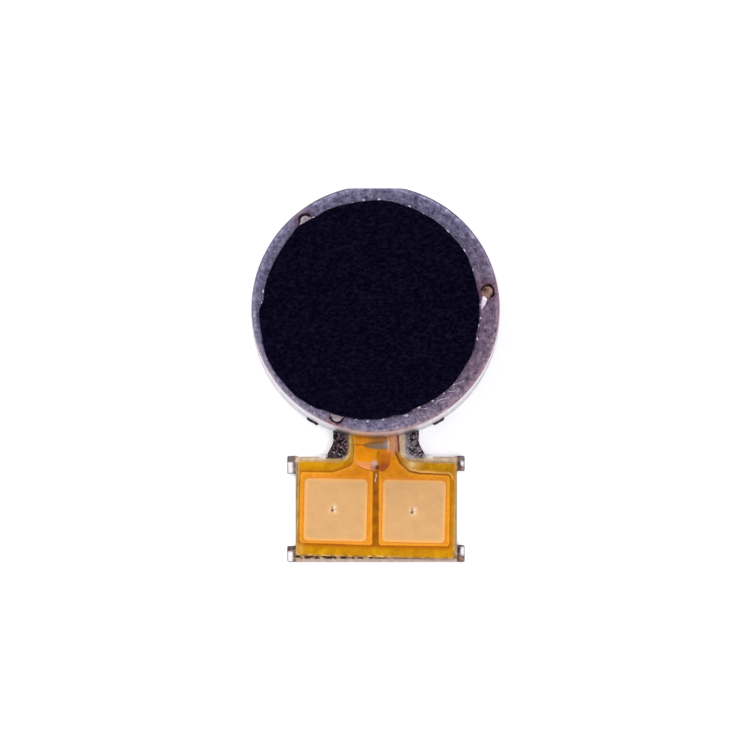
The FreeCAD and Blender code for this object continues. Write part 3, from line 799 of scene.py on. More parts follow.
# ------------------------------------------------------------------ plates whose outline is a union of shapes
def union_slab(loops, region, grids, guides=(), top=0.2, bottom=0.0, edge=0.02, edge_low=0.02, rings=2):
    lines = list(guides)
    for r in {round(edge, 5), round(edge_low, 5)} - {0.0}:
        for k in range(1, rings + 1):
            lines += [inset(l, r * (1 - math.cos(math.pi / 2 * k / rings))) for l in loops]
    pts, edges = [], []
    for loop in [*loops, *lines]:
        k = len(pts)
        pts += [tuple(p) for p in loop]
        edges += [(k + i, k + (i + 1) % len(loop)) for i in range(len(loop))]
    allp = np.concatenate([*loops, *lines])
    for s, where in grids:
        g = hexgrid(allp.min(0), allp.max(0), s)
        g = g[where(g) & region(g)]
        for loop in [*loops, *lines]:
            if len(g):
                g = g[near(g, loop) > s * 0.55]
        pts += [tuple(p) for p in g]
    v, _, f, *_ = delaunay_2d_cdt([Vector(p) for p in pts], edges, [], 0, 1e-6, False)
    v = np.array([tuple(p) for p in v])
    f = np.array([t for t in f if len(t) == 3])
    f = f[region(v[f].mean(1))]
    e1, e2 = v[f[:, 1]] - v[f[:, 0]], v[f[:, 2]] - v[f[:, 0]]
    f = f[np.abs(e1[:, 0] * e2[:, 1] - e1[:, 1] * e2[:, 0]) > 1e-9]
    count = set()
    for t in f:
        for i in range(3):
            count.add((int(t[i]), int(t[(i + 1) % 3])))
    rim = [(a, b) for (a, b) in count if (b, a) not in count]
    seg_a, seg_b = v[[a for a, _ in rim]], v[[b for _, b in rim]]
    d = np.full(len(v), 1e9)
    for i in range(0, len(rim), 64):
        p, q = seg_a[i:i + 64], seg_b[i:i + 64]
        e = q - p
        L = np.maximum((e * e).sum(1), 1e-12)
        w = v[:, None, :] - p[None]
        t = np.clip((w * e[None]).sum(2) / L[None], 0, 1)
        d = np.minimum(d, np.linalg.norm(w - t[:, :, None] * e[None], axis=2).min(1))
    zt = (top(v[:, 0], v[:, 1], d) if callable(top) else np.full(len(v), top)) - rolled(d, edge)
    zb = (bottom(v[:, 0], v[:, 1], d) if callable(bottom) else np.full(len(v), bottom)) + rolled(d, edge_low)
    n = len(v)
    verts = np.concatenate([np.c_[v, zt], np.c_[v, zb]])
    faces = [tuple(t) for t in f] + [(t[0] + n, t[2] + n, t[1] + n) for t in f] + [(b, a, a + n, b + n) for a, b in rim]
    return verts, faces


def S(r, g, b, k=1.0):
    return np.array(srgb(r, g, b, k)[:3])


def lay(base, colour, amount):
    """Paints a colour over a colour field, by an amount from 0 to 1 at each point."""
    a = np.clip(amount, 0, 1)[:, None]
    return base * (1 - a) + np.asarray(colour)[None] * a


def blob(x, y, cx, cy, rx, ry, soft=0.5):
    return 1 - smoothstep(1 - soft, 1 + soft, np.hypot((x - cx) / rx, (y - cy) / ry))


# ------------------------------------------------------------------ outline of the flex circuit
FTILT, FC, FH, NECK_H = -1.3, (0.03, -7.86), (3.19, 1.945), 1.06
Z_ADH, Z_BASE, Z_CU, Z_OVER = 0.230, 0.255, 0.275, 0.300
LEFT_DROP = 0.06
PAD_SIZE, PAD_R = (2.57, 2.56), 0.20
PAD_L, PAD_RR = (-1.612, -7.897), (1.546, -7.955)
DIMPLE_L, DIMPLE_R = (-1.731, -7.893), (1.485, -7.974)


def flex_corners(inset_by=0.0):
    n = NECK_H - inset_by
    pts = [(-n, -2.95, 0.15), (-n, FC[1] + FH[1] - inset_by, 0.52),
           (FC[0] - FH[0] + inset_by, FC[1] + FH[1] - inset_by, 0.12), (FC[0] - FH[0] + inset_by, FC[1] - FH[1] + inset_by, 0.10),
           (FC[0] + FH[0] - inset_by, FC[1] - FH[1] + inset_by, 0.10), (FC[0] + FH[0] - inset_by, FC[1] + FH[1] - inset_by, 0.12),
           (n, FC[1] + FH[1] - inset_by, 0.50), (n, -2.95, 0.15)]
    head = turned(pts[2:6], FTILT, FC)
    c = math.tan(math.radians(FTILT))
    head[0] = (head[0][0], head[0][1] - LEFT_DROP, 0.12)
    return [pts[0], (pts[1][0], pts[1][1] + c * (pts[1][0] - FC[0]) - LEFT_DROP, 0.52), *head, (pts[6][0], pts[6][1] + c * (pts[6][0] - FC[0]), 0.50), pts[7]]


def ragged(loop, amount, seed):
    """Torn look along the end edge of a film, and a faint waviness elsewhere."""
    x, y = loop.T
    end = smoothstep(-9.62, -9.74, y) * smoothstep(-3.05, -2.9, x) * (1 - smoothstep(0.2, 1.2, x))
    w = bumps(x, y, seed=seed, scale=2.4, octaves=3)
    out = loop.copy()
    out[:, 1] += end * amount * w * (0.4 + 0.6 * (bumps(x, y, seed=seed + 1, scale=0.8, octaves=1) > 0))
    out[:, 0] += (1 - end) * 0.010 * w * (np.abs(x) > 3.0)
    return out


film_line = ragged(outline(flex_corners(), 0.04, 0.02), 0.030, 41)


# ------------------------------------------------------------------ base plate, neck and tab
NECK_X, FLARE_X = (-1.71, 1.75), (-2.00, 2.04)
TAB_TOP, TAB_X, TAB_END = -5.74, (-3.22, 3.28), -9.99
EAR_X, EAR_TOP, EAR_LOW, EAR_HIGH = (-3.56, 3.59), -5.70, (-6.42, -6.31), (-9.34, -9.30)
tail_line = outline([
    (NECK_X[0], -4.2, 0), (NECK_X[0], -5.20, 0.5), (FLARE_X[0], TAB_TOP + 0.02, 0.05),
    (FLARE_X[0] - 0.03, TAB_TOP + 0.09, 0.02), (FLARE_X[0] - 0.14, TAB_TOP + 0.09, 0.05), (FLARE_X[0] - 0.27, TAB_TOP, 0.12),
    (TAB_X[0] + 0.10, TAB_TOP, 0.03), (TAB_X[0] + 0.06, EAR_TOP, 0.02),
    (EAR_X[0], EAR_TOP, 0.07), (EAR_X[0], EAR_LOW[0], 0.05), (TAB_X[0], EAR_LOW[0], 0.06),
    (TAB_X[0], EAR_HIGH[0], 0.06), (EAR_X[0], EAR_HIGH[0], 0.05), (EAR_X[0], TAB_END, 0.08), (EAR_X[1], TAB_END, 0.08),
    (EAR_X[1], EAR_HIGH[1], 0.07), (TAB_X[1], EAR_HIGH[1], 0.06), (TAB_X[1], EAR_LOW[1], 0.06), (EAR_X[1], EAR_LOW[1], 0.06),
    (EAR_X[1], EAR_TOP, 0.05), (TAB_X[1] - 0.08, EAR_TOP, 0.02), (TAB_X[1] - 0.12, TAB_TOP, 0.03), (FLARE_X[1] + 0.27, TAB_TOP, 0.12),
    (FLARE_X[1] + 0.14, TAB_TOP + 0.09, 0.05), (FLARE_X[1] + 0.03, TAB_TOP + 0.09, 0.02),
    (FLARE_X[1], TAB_TOP + 0.02, 0.05), (NECK_X[1], -5.20, 0.5), (NECK_X[1], -4.2, 0),
], 0.05, 0.02)
disc_t = np.arange(160) * 2 * math.pi / 160
disc_line = np.stack([4.78 * np.cos(disc_t), np.minimum(4.78 * np.sin(disc_t), 4.64)], 1)
disc_line = disc_line[np.linalg.norm(disc_line - np.roll(disc_line, 1, 0), axis=1) > 1e-4]
lugs = []
for a in NOTCHES:
    c, s = math.cos(math.radians(a)), math.sin(math.radians(a))
    box = outline([(4.3, -0.21, 0), (4.93, -0.21, 0.03), (4.93, 0.21, 0.03), (4.3, 0.21, 0)], 0.1, 0.02)
    lugs.append(ccw(np.stack([box[:, 0] * c - box[:, 1] * s, box[:, 0] * s + box[:, 1] * c], 1)))
plate_loops = [tail_line, disc_line, *lugs]


def plate_region(c):
    k = np.zeros(len(c), bool)
    for l in plate_loops:
        k |= inside(c, l)
    return k


def ear_slope(x, y):
    """1 on the outer bevels of the four ears."""
    return np.maximum(np.clip((TAB_X[0] - 0.10 - x) / 0.17, 0, 1), np.clip((x - TAB_X[1] - 0.13) / 0.16, 0, 1))


def plate_top(x, y, d):
    z = np.full(len(x), 0.200)
    tail = smoothstep(-4.75, -4.95, y)
    out = smoothstep(0.0, 0.09, d)
    rough = bumps(x, y, seed=11, scale=1.5, octaves=3)
    neck = smoothstep(-5.95, -5.75, y) * tail
    z = z + out * tail * (0.004 * rough - 0.004) - neck * out * 0.006 * np.clip(bumps(x, y, seed=12, scale=3.2, octaves=2), 0, 1)
    ear = ear_slope(x, y)
    z = z - 0.105 * ear ** 1.15
    z = z - smoothstep(-9.80, -9.99, y) * 0.018
    # pinched lips beside the neck
    for lx in (FLARE_X[0] - 0.13, FLARE_X[1] + 0.13):
        z = z + 0.035 * blob(x, y, lx, TAB_TOP + 0.00, 0.15, 0.10, 0.7)
    return z


tailmask = lambda g: g[:, 1] < -4.62
v, f = union_slab(plate_loops, plate_region, [(0.06, tailmask), (0.26, lambda g: ~tailmask(g))],
                  top=plate_top, bottom=lambda x, y, d: 0.0 + 0.0 * x, edge=0.022, edge_low=0.03)


def plate_colour(co):
    x, y, z = co.T
    col = np.tile(S(186, 176, 184), (len(x), 1))
    tail = smoothstep(-4.6, -4.75, y)
    up = np.where(np.abs(x) > 3.2, smoothstep(0.02, 0.06, z), smoothstep(0.10, 0.16, z))
    lo = bumps(x, y, seed=21, scale=0.9, octaves=3)
    hi = bumps(x, y, seed=22, scale=3.4, octaves=3)
    col = lay(col, S(156, 134, 124), tail * 0.75)
    col = lay(col, S(120, 92, 84), tail * np.clip(hi * 0.9 + 0.25, 0, 1) * 0.6)
    # beside the neck the plate is dark, the left side darker: oxidised metal together with painted shade under the
    # can's edge
    inner = smoothstep(2.12, 1.98, np.abs(x))
    left = tail * (x < -0.9) * smoothstep(-5.86, -5.72, y) * inner
    right = tail * (x > 0.9) * smoothstep(-5.86, -5.72, y) * inner
    col = lay(col, S(62, 42, 46), left * 0.95)
    col = lay(col, S(8, 4, 12), left * smoothstep(-0.10, 0.35, hi))
    col = lay(col, S(150, 118, 128), left * smoothstep(0.18, 0.50, -hi) * 0.75)
    col = lay(col, S(112, 60, 66), left * smoothstep(0.1, 0.5, lo) * 0.35)
    col = lay(col, S(142, 128, 138), right * 0.95)
    col = lay(col, S(70, 58, 72), right * smoothstep(0.05, 0.45, hi) * 0.85)
    col = lay(col, S(190, 176, 186), right * smoothstep(0.15, 0.5, -hi) * 0.7)
    for cx, cy, rx, ry in ((1.56, -4.84, 0.16, 0.07), (1.40, -4.98, 0.10, 0.06), (1.17, -5.05, 0.08, 0.12), (1.52, -5.05, 0.12, 0.04),
                           (1.66, -5.72, 0.10, 0.06), (1.22, -5.74, 0.12, 0.05), (1.83, -5.78, 0.22, 0.045)):
        col = lay(col, S(14, 8, 20), right * blob(x, y, cx, cy, rx, ry, 0.5) * 0.95)
    col = lay(col, S(18, 8, 16), left * blob(x, y, -1.95, -5.80, 0.30, 0.05, 0.6))
    # painted highlight: pale bands on the plate along both edges of the film in the neck; brown near the can on the
    # left
    out = np.clip(-signed(np.c_[x, y], film_line), 0, 9)
    throat = smoothstep(-6.00, -5.92, y) * tail * (np.abs(x) > 0.9) * inner
    wav = 0.5 + 0.5 * np.clip(bumps(x, y, seed=33, scale=2.0, octaves=3) * 1.6, -1, 1)
    col = lay(col, S(206, 192, 188), throat * (x > 0) * smoothstep(0.27 + 0.06 * wav, 0.10, out) * (0.55 + 0.36 * wav))
    col = lay(col, S(250, 232, 212), throat * (x > 0) * smoothstep(0.13 + 0.04 * wav, 0.05, out) * smoothstep(-5.85, -5.65, y) * 0.9)
    col = lay(col, S(136, 96, 74), throat * (x < 0) * smoothstep(0.24, 0.08, out) * smoothstep(-5.45, -5.15, y) * 0.9)
    col = lay(col, S(206, 164, 104), throat * (x < 0) * smoothstep(0.11 + 0.05 * wav, 0.03, out) * (0.55 + 0.42 * wav))
    col = lay(col, S(240, 208, 156), throat * smoothstep(0.07, 0.01, out) * (0.35 + 0.5 * wav))
    # painted highlight: a cream band beside the film's top edge at the foot of the neck
    foot = smoothstep(-5.81, -5.85, y) * smoothstep(-6.05, -6.00, y) * smoothstep(0.9, 1.0, np.abs(x)) * inner
    col = lay(col, S(232, 190, 120), foot * (0.7 + 0.25 * wav))
    # polished bevels of the ears, carrying a painted highlight, with a dark root
    ear = ear_slope(x, y)
    is_ear = smoothstep(TAB_X[0] + 0.04, TAB_X[0] - 0.03, x) + smoothstep(TAB_X[1] - 0.04, TAB_X[1] + 0.03, x)
    col = lay(col, S(118, 88, 76), is_ear * 0.7)
    grit = bumps(x, y, seed=27, scale=2.9, octaves=3)
    col = lay(col, S(196, 158, 122), is_ear * smoothstep(-0.10, -0.40, grit) * 0.65)
    col = lay(col, S(44, 26, 30), is_ear * smoothstep(0.08, 0.45, grit) * 0.85)
    col = lay(col, S(136, 122, 128), is_ear * smoothstep(-5.95, -5.88, y) * 0.70)
    col = lay(col, S(96, 80, 88), is_ear * smoothstep(-9.52, -9.46, y) * (y < -9) * 0.7)
    upper_left = (x < -3) * (y > -7)
    lower_left = (x < -3) * (y < -9)
    upper_right = (x > 3) * (y > -7)
    lower_right = (x > 3) * (y < -9)
    ear_painted_glint = ear ** 0.5 * (upper_left * smoothstep(-5.93, -6.00, y) + lower_left * smoothstep(-9.55, -9.62, y)
                          + upper_right * blob(x, y, 3.46, -6.00, 0.12, 0.09, 0.5) + lower_right * blob(x, y, 3.52, -9.55, 0.13, 0.17, 0.4))
    col = lay(col, S(255, 252, 252), np.clip(ear_painted_glint * 1.6, 0, 1))
    skirt = signed(np.c_[x, y], tail_line)
    col = lay(col, S(112, 102, 112), smoothstep(0.042, 0.014, skirt) * smoothstep(3.24, 3.30, np.abs(x)) * 0.9)
    # pale brown margins beside the film, a painted highlight along the tab's top edge; then the end strip and lips
    body = 1 - np.clip(is_ear, 0, 1)
    margin = smoothstep(-5.88, -5.80, y) * (1 - smoothstep(-5.62, -5.55, y)) * smoothstep(1.9, 2.3, np.abs(x)) * body
    margin = smoothstep(-6.02, -5.94, y) * smoothstep(1.9, 2.1, np.abs(x)) * body
    col = lay(col, S(240, 214, 176), margin * (0.85 + 0.15 * hi))
    col = lay(col, S(150, 128, 116), margin * smoothstep(-5.80, -5.755, y) * (0.45 + 0.4 * np.clip(hi, -1, 1)))
    col = lay(col, S(214, 186, 154), smoothstep(3.14, 3.20, x) * body * (0.8 + 0.2 * hi) * smoothstep(-5.9, -6.05, y))
    col = lay(col, S(206, 172, 126), smoothstep(-3.12, -3.17, x) * body * (0.8 + 0.2 * hi) * smoothstep(-5.9, -6.05, y))
    spots = bumps(x, y, seed=29, scale=2.6, octaves=3)
    dark = smoothstep(-9.68, -9.72, y) * (1 - smoothstep(-9.84, -9.90, y - 0.03 * spots)) * body
    col = lay(col, S(168, 128, 84), dark * 0.9)
    col = lay(col, S(56, 32, 20), dark * smoothstep(-0.12, 0.16, spots) * smoothstep(1.6, 0.3, x) * (0.55 + 0.45 * smoothstep(0.4, -0.6, x)))
    # pale flecks among the dark spots: painted highlights
    col = lay(col, S(222, 190, 138), dark * smoothstep(-0.05, -0.40, spots) * 0.75)
    col = lay(col, S(118, 84, 50), dark * smoothstep(0.9, 1.4, x) * smoothstep(-9.76, -9.80, y) * (1 - smoothstep(-9.82, -9.86, y)) * 0.7)
    strip = smoothstep(-9.845, -9.885, y - 0.02 * spots) * body
    col = lay(col, S(202, 178, 164), strip * (0.84 + 0.14 * hi))
    # painted glints on the pinched lips beside the neck
    for lx in (FLARE_X[0] - 0.13, FLARE_X[1] + 0.13):
        col = lay(col, S(255, 248, 250), blob(x, y, lx, TAB_TOP + 0.01, 0.15, 0.075, 0.4))
    side = (1 - up) * tail
    col = lay(col, S(176, 168, 176), side * 0.9)
    return lay(col, S(186, 176, 184), smoothstep(-4.75, -4.60, y))


m = Mat("bracket_steel_wear_and_sheen")
col = m.attr("tone", True)
bright = m.vec("DOT_PRODUCT", col, (0.3, 0.5, 0.2))
n1, n2 = m.noise(4.5, 4.0, 0.65), m.noise(15.0, 3.0, 0.7)
x, y, z = m.xyz()
grainy = m.remap(m.add(m.mul(n1, 0.6), m.mul(n2, 0.4)), 0.30, 0.70, 0.62, 1.30)
roll = m.noise(1.0, 3.0, 0.6, vec=m.comb(m.mul(x, 30.0), m.mul(y, 1.2), z))
col = m.mix(1.0, col, m.comb(grainy, grainy, grainy), "MULTIPLY")
pits = m.remap(m.voronoi(6.5, "F1", vec=m.vec("ADD", m.p, m.vec("SCALE", m.noise(5.0), scale=0.3))), 0.14, 0.04)
col = m.mix(m.mul(pits, 0.5), col, srgb(40, 30, 38))
throat = m.mul(m.mul(m.mul(m.remap(y, -5.84, -5.76), m.remap(z, 0.04, 0.12)), m.remap(y, -4.60, -4.70)), m.mul(m.remap(m.math("ABSOLUTE", m.sub(x, 0.06)), 1.07, 1.19), m.remap(m.math("ABSOLUTE", x), 2.10, 2.00)))
g1, g2 = m.noise(8.5, 3.0, 0.75), m.noise(10.5, 2.0, 0.7, vec=m.vec("ADD", m.p, (4.3, 1.7, 0.0)))
# black blobs in the neck: dark metal deepened by painted shade under the can's edge; glint paints whitish glints among
# them
neck_dark_and_shade = m.mul(throat, m.remap(g1, 0.52, 0.44))
glint = m.mul(throat, m.remap(g2, 0.575, 0.635))
col = m.mix(m.mul(neck_dark_and_shade, m.remap(bright, 0.50, 0.25, 0.25, 0.9)), col, srgb(8, 5, 10))
col = m.mix(m.mul(glint, m.remap(x, -1.0, 1.0, 0.75, 0.9)), col, srgb(214, 204, 212))
# Metallic drops where the painted colour is pale, so the painted highlights stay bright
PLATE_MAT = m.set(Base_Color=col, Metallic=m.mx(0.0, m.sub(m.remap(bright, 0.15, 0.38, 0.70, 0.08), m.mul(glint, 0.4))), Roughness=m.remap(n1, 0.3, 0.7, 0.30, 0.50),
                  Normal=m.bump(m.add(m.add(m.mul(n1, 0.8), m.mul(n2, 0.4)), m.mul(roll, 0.15)), 0.016, 0.8))
plate = make("base_plate_tail", v, f, "housing", PLATE_MAT, ["bracket"], smooth=42, attributes={"tone": plate_colour})


# ------------------------------------------------------------------ flex circuit
cu_left = outline([(-3.02, -6.375, 0.10), (-1.72, -6.395, 0.50), (-0.98, -6.13, 0.30), (-0.75, -5.70, 0.34), (-0.82, -5.16, 0.30), (-0.80, -3.60, 0.10), (-0.80, -3.10, 0.10),
                   (-0.22, -3.10, 0.10), (-0.13, -6.00, 0.05), (-0.11, -6.42, 0.05), (-0.14, -9.315, 0.10), (-3.06, -9.214, 0.12)], 0.05, 0.02)
cu_right = outline([(0.13, -6.42, 0.05), (0.13, -6.00, 0.05), (0.22, -3.10, 0.10), (0.80, -3.10, 0.10), (0.80, -3.60, 0.10),
                    (0.77, -5.60, 0.30), (0.95, -6.00, 0.30), (1.34, -6.37, 0.30), (1.78, -6.465, 0.26), (2.99, -6.525, 0.12), (2.96, -9.36, 0.12),
                    (0.14, -9.311, 0.10)], 0.05, 0.02)


def pad_corners(c, grow=0.0):
    w, h = PAD_SIZE[0] + 2 * grow, PAD_SIZE[1] + 2 * grow
    r = PAD_R + grow
    return turned([(c[0] - w / 2, c[1] - h / 2, r), (c[0] + w / 2, c[1] - h / 2, r), (c[0] + w / 2, c[1] + h / 2, r), (c[0] - w / 2, c[1] + h / 2, r)], FTILT, c)


win_left, win_right = outline(pad_corners(PAD_L, 0.006), 0.05, 0.02), outline(pad_corners(PAD_RR, 0.006), 0.05, 0.02)
solder_holes = [circle(0.23, s * 0.55, -3.35, 28) for s in (-1, 1)]
OLIVE = dict(tl=S(213, 150, 2), tr=S(192, 132, 6), b=S(203, 143, 4))


def into_copper(p):
    return np.maximum(signed(p, cu_left), signed(p, cu_right))


def cover_top(x, y, d):
    s = into_copper(np.c_[x, y])
    z = 0.2850 + 0.0145 * smoothstep(-0.055, 0.005, s)
    z = z + 0.0012 * bumps(x, y, seed=51, scale=0.5, octaves=3)
    return z


def cover_bottom(x, y, d):
    s = into_copper(np.c_[x, y])
    return 0.2552 + 0.0200 * smoothstep(-0.05, -0.02, s)


guides = []
for l in (cu_left, cu_right):
    guides += [l, inset(l, -0.03), inset(l, -0.06), inset(l, -0.10), inset(l, 0.035), inset(l, 0.08)]
for l in (win_left, win_right):
    guides += [inset(l, -0.045), inset(l, -0.09)]
guides += [inset(film_line, 0.05), inset(film_line, 0.09), inset(film_line, 0.14)]
# guides stay within the film
v, f = slab(film_line, [win_left, win_right, *solder_holes], [g for g in guides], spacing=0.065, top=cover_top, bottom=cover_bottom, edge=0.010, rings=2)


def cover_colour(co):
    x, y, z = co.T
    p = np.c_[x, y]
    s = into_copper(p)
    d = signed(p, film_line)
    w = np.minimum(near(p, win_left), near(p, win_right))
    lo = bumps(x, y, seed=61, scale=0.45, octaves=2)
    hi = bumps(x, y, seed=62, scale=2.6, octaves=3)
    low = smoothstep(-8.9, -9.3, y)
    olive = lay(lay(np.tile(OLIVE["tl"], (len(x), 1)), OLIVE["tr"], smoothstep(0.6, 1.4, x)), OLIVE["b"], low)
    olive = lay(olive, S(188, 120, 6), np.clip(lo, 0, 1) * 0.35)
    mot = bumps(x, y, seed=66, scale=1.5, octaves=3)
    olive = lay(olive, S(232, 172, 14), np.clip(mot * 1.5, 0, 1) * 0.45)
    olive = lay(olive, S(178, 112, 0), np.clip(-mot * 1.5, 0, 1) * 0.42)
    olive = lay(olive, S(190, 116, 4), smoothstep(-0.35, -0.08, s) * 0.45)
    col = olive
    # copper seen through the film, orange
    orange = lay(np.tile(S(229, 149, 34), (len(x), 1)), S(219, 133, 20), smoothstep(0.04, 0.2, s))
    orange = lay(orange, S(242, 160, 46), np.clip(hi, 0, 1) * 0.4)
    inn = smoothstep(-0.012, 0.012, s)
    # painted shade: the film darkens softly towards the step over the copper: widely at the tab's end, narrowly
    # elsewhere
    col = lay(col, S(176, 98, 0), smoothstep(-0.26, -0.03, s) * (1 - inn) * (0.20 + 0.70 * low))
    col = lay(col, S(166, 90, 0), smoothstep(-0.085, -0.045, s) * (1 - inn) * (0.85 - 0.15 * low))
    # olive strips outside the copper on both long sides
    col = lay(col, S(168, 112, 16), smoothstep(-3.03, -3.09, x) * (1 - inn) * 0.8)
    col = lay(col, S(190, 128, 14), smoothstep(2.98, 3.05, x) * (1 - inn) * 0.7)
    orange = lay(orange, S(248, 152, 8), smoothstep(-6.35, -6.0, y) * 0.6)
    a = inn[:, None]
    col = col * (1 - a) + orange * a
    # painted highlight: a bright band just inside the edge of the copper
    col = lay(col, S(250, 166, 52), inn * (1 - smoothstep(0.02, 0.07, s)) * 0.6)
    # channel between the two coppers
    gap = (1 - inn) * smoothstep(0.16, 0.12, np.abs(x + 0.0 - 0.003 * (y + 8))) * smoothstep(-9.45, -9.3, y) * smoothstep(-6.1, -6.3, y)
    col = lay(col, S(156, 84, 2), gap * 0.95)
    col = lay(col, S(112, 56, 2), gap * np.clip(mot * 1.4 + 0.1, 0, 1) * 0.35)
    col = lay(col, S(186, 122, 8), gap * np.clip(-mot * 1.4, 0, 1) * 0.35)
    twist = smoothstep(0.035, 0.0, np.abs(x - 0.012 - 0.03 * np.sin((y + 6.6) * 16))) * smoothstep(-6.82, -6.70, y) * smoothstep(-6.40, -6.46, y)
    col = lay(col, S(235, 205, 165), twist * 0.95)
    # round the pads the film runs darker, then pale
    ring = smoothstep(0.07, 0.02, w)
    col = lay(col, S(236, 148, 50), ring * 0.7 * inn)
    # cut edge of the film: a tan band, and a pale line at the very edge painted as a highlight
    edge = smoothstep(0.085, 0.015, d)
    edge_patchiness = np.clip(0.75 + 0.6 * hi, 0, 1)
    col = lay(col, S(172, 134, 76), edge * 0.80 * edge_patchiness)
    col = lay(col, S(192, 160, 122), smoothstep(0.045, 0.0, d) * 0.55 * edge_patchiness * (x > -3.0))
    neck = smoothstep(-6.05, -5.85, y)
    near_neck = smoothstep(1.45, 1.15, np.abs(x)) * smoothstep(-6.0, -5.8, y)
    wav = np.clip(0.5 + bumps(x, y, seed=64, scale=1.9, octaves=3) * 1.3, 0, 1)
    # painted highlight: pale bands along the film's edge near the neck
    col = lay(col, S(226, 184, 128), smoothstep(0.17, 0.05, d) * near_neck * (0.25 + 0.6 * wav))
    col = lay(col, S(250, 226, 182), smoothstep(0.09, 0.02, d) * near_neck * (0.35 + 0.6 * wav))
    col = lay(col, S(150, 100, 40), smoothstep(0.05, 0.02, np.abs(d - 0.14)) * near_neck * 0.55 * (1 - wav))
    # neck of the flex: dark seams; bare-looking pink copper on the right, partly a painted highlight; pale lines along
    # the film's edges, painted highlights
    col = lay(col, S(234, 206, 178), smoothstep(0.93, 0.97, x) * (x < 1.3) * smoothstep(-5.74, -5.48, y) * (0.50 + 0.40 * wav))
    col = lay(col, S(228, 162, 134), neck * smoothstep(0.54, 0.64, x) * (1 - smoothstep(0.86, 0.92, x)) * smoothstep(-5.78, -5.40, y) * (0.8 + 0.2 * hi))
    col = lay(col, S(196, 132, 124), neck * smoothstep(0.76, 0.86, x) * (1 - smoothstep(0.88, 0.92, x)) * smoothstep(-5.60, -5.40, y) * 0.6)
    col = lay(col, S(112, 44, 26), neck * smoothstep(0.87, 0.90, x + 0.04 * (y + 5.2)) * (1 - smoothstep(0.95, 0.98, x + 0.04 * (y + 5.2))) * smoothstep(-5.72, -5.50, y))
    # painted shade at the step over the copper on the right-hand shoulder, with a lighter band beside it as a painted
    # highlight
    shoulder = smoothstep(-6.50, -6.40, y) * smoothstep(-5.45, -5.6, y) * (x > 0.7)
    col = lay(col, S(138, 66, 8), shoulder * smoothstep(-0.085, -0.05, s) * (1 - inn) * 0.9)
    col = lay(col, S(214, 160, 52), shoulder * smoothstep(-0.20, -0.10, s) * (1 - smoothstep(-0.09, -0.06, s)) * 0.35)
    col = lay(col, S(206, 172, 60), neck * smoothstep(-1.0, -0.97, x) * (1 - smoothstep(-0.93, -0.90, x)) * 0.6)
    # painted highlight where the film bends towards the right-hand shoulder
    col = lay(col, S(238, 196, 124), blob(x, y, 1.50, -6.06, 0.26, 0.19, 0.9) * 0.62)
    col = lay(col, S(255, 232, 184), blob(x, y, 1.46, -6.03, 0.09, 0.12, 0.9) * 0.5)
    # painted highlight: a cream line along the ridge of the film over the copper's upper right edge
    lip = smoothstep(-0.165, -0.130, s) * (1 - smoothstep(-0.100, -0.080, s)) * smoothstep(1.22, 1.40, x) * smoothstep(-6.7, -6.6, y) * (1 - 0.35 * smoothstep(1.9, 2.8, x))
    col = lay(col, S(246, 192, 112), lip * 0.90)
    col = lay(col, S(232, 178, 84), blob(x, y, -3.0, -9.45, 0.12, 0.22, 0.8) * 0.45)
    # painted highlight: pale bands along the film's edges at the shoulders and long sides
    tan = smoothstep(0.065, 0.005, d) * smoothstep(-6.3, -6.1, y) * smoothstep(1.3, 1.6, np.abs(x))
    col = lay(col, S(226, 178, 104), tan * (0.50 + 0.35 * wav))
    col = lay(col, S(218, 176, 96), smoothstep(0.10, 0.02, d) * (np.abs(x) > 2.9) * (0.25 + 0.45 * wav))
    # torn end: pale flecks painted as highlights, and darker flecks
    col = lay(col, S(236, 196, 112), smoothstep(0.09, 0.03, d) * (y < -9.5) * (x < 0.6) * np.clip(0.1 + hi, 0, 1))
    col = lay(col, S(138, 96, 34), smoothstep(0.09, 0.03, d) * (y < -9.5) * np.clip(0.1 - 1.2 * hi, 0, 1))
    return col


m = Mat("polyimide_cover", Specular_IOR_Level=0.14, Coat_Weight=0.04, Coat_Roughness=0.25)
col = m.attr("tone", True)
n1, n2 = m.noise(2.2, 4.0, 0.6), m.noise(14.0, 3.0, 0.65)
k = m.remap(m.add(m.mul(n1, 0.45), m.mul(n2, 0.55)), 0.34, 0.66, 0.80, 1.17)
col = m.mix(1.0, col, m.comb(k, k, m.mul(k, 0.95)), "MULTIPLY")
COVER_MAT = m.set(Base_Color=col, Roughness=m.remap(n1, 0.3, 0.7, 0.30, 0.44), Normal=m.bump(m.add(m.mul(n1, 0.6), m.mul(n2, 0.35)), 0.006, 0.7))
cover = make("flex_cover_film", v, f, "housing", COVER_MAT, ["flex_coverlay"], smooth=60, attributes={"tone": cover_colour})

v, f = slab(outline(flex_corners(0.004), 0.10, 0.03), spacing=0.4, top=Z_BASE - 0.0004, bottom=Z_ADH + 0.0004, edge=0.006, rings=2)
m = Mat("polyimide_base", Specular_IOR_Level=0.35)
base_film = make("flex_base", v, f, "housing",
                 m.set(Base_Color=m.mix(m.noise(3.0, 3.0), srgb(206, 140, 30), srgb(168, 100, 16)), Roughness=m.remap(m.noise(9.0), 0.3, 0.7, 0.32, 0.5), Normal=m.bump(m.noise(12.0, 3.0), 0.004, 0.6)),
                 ["flex_base_film"], smooth=50)


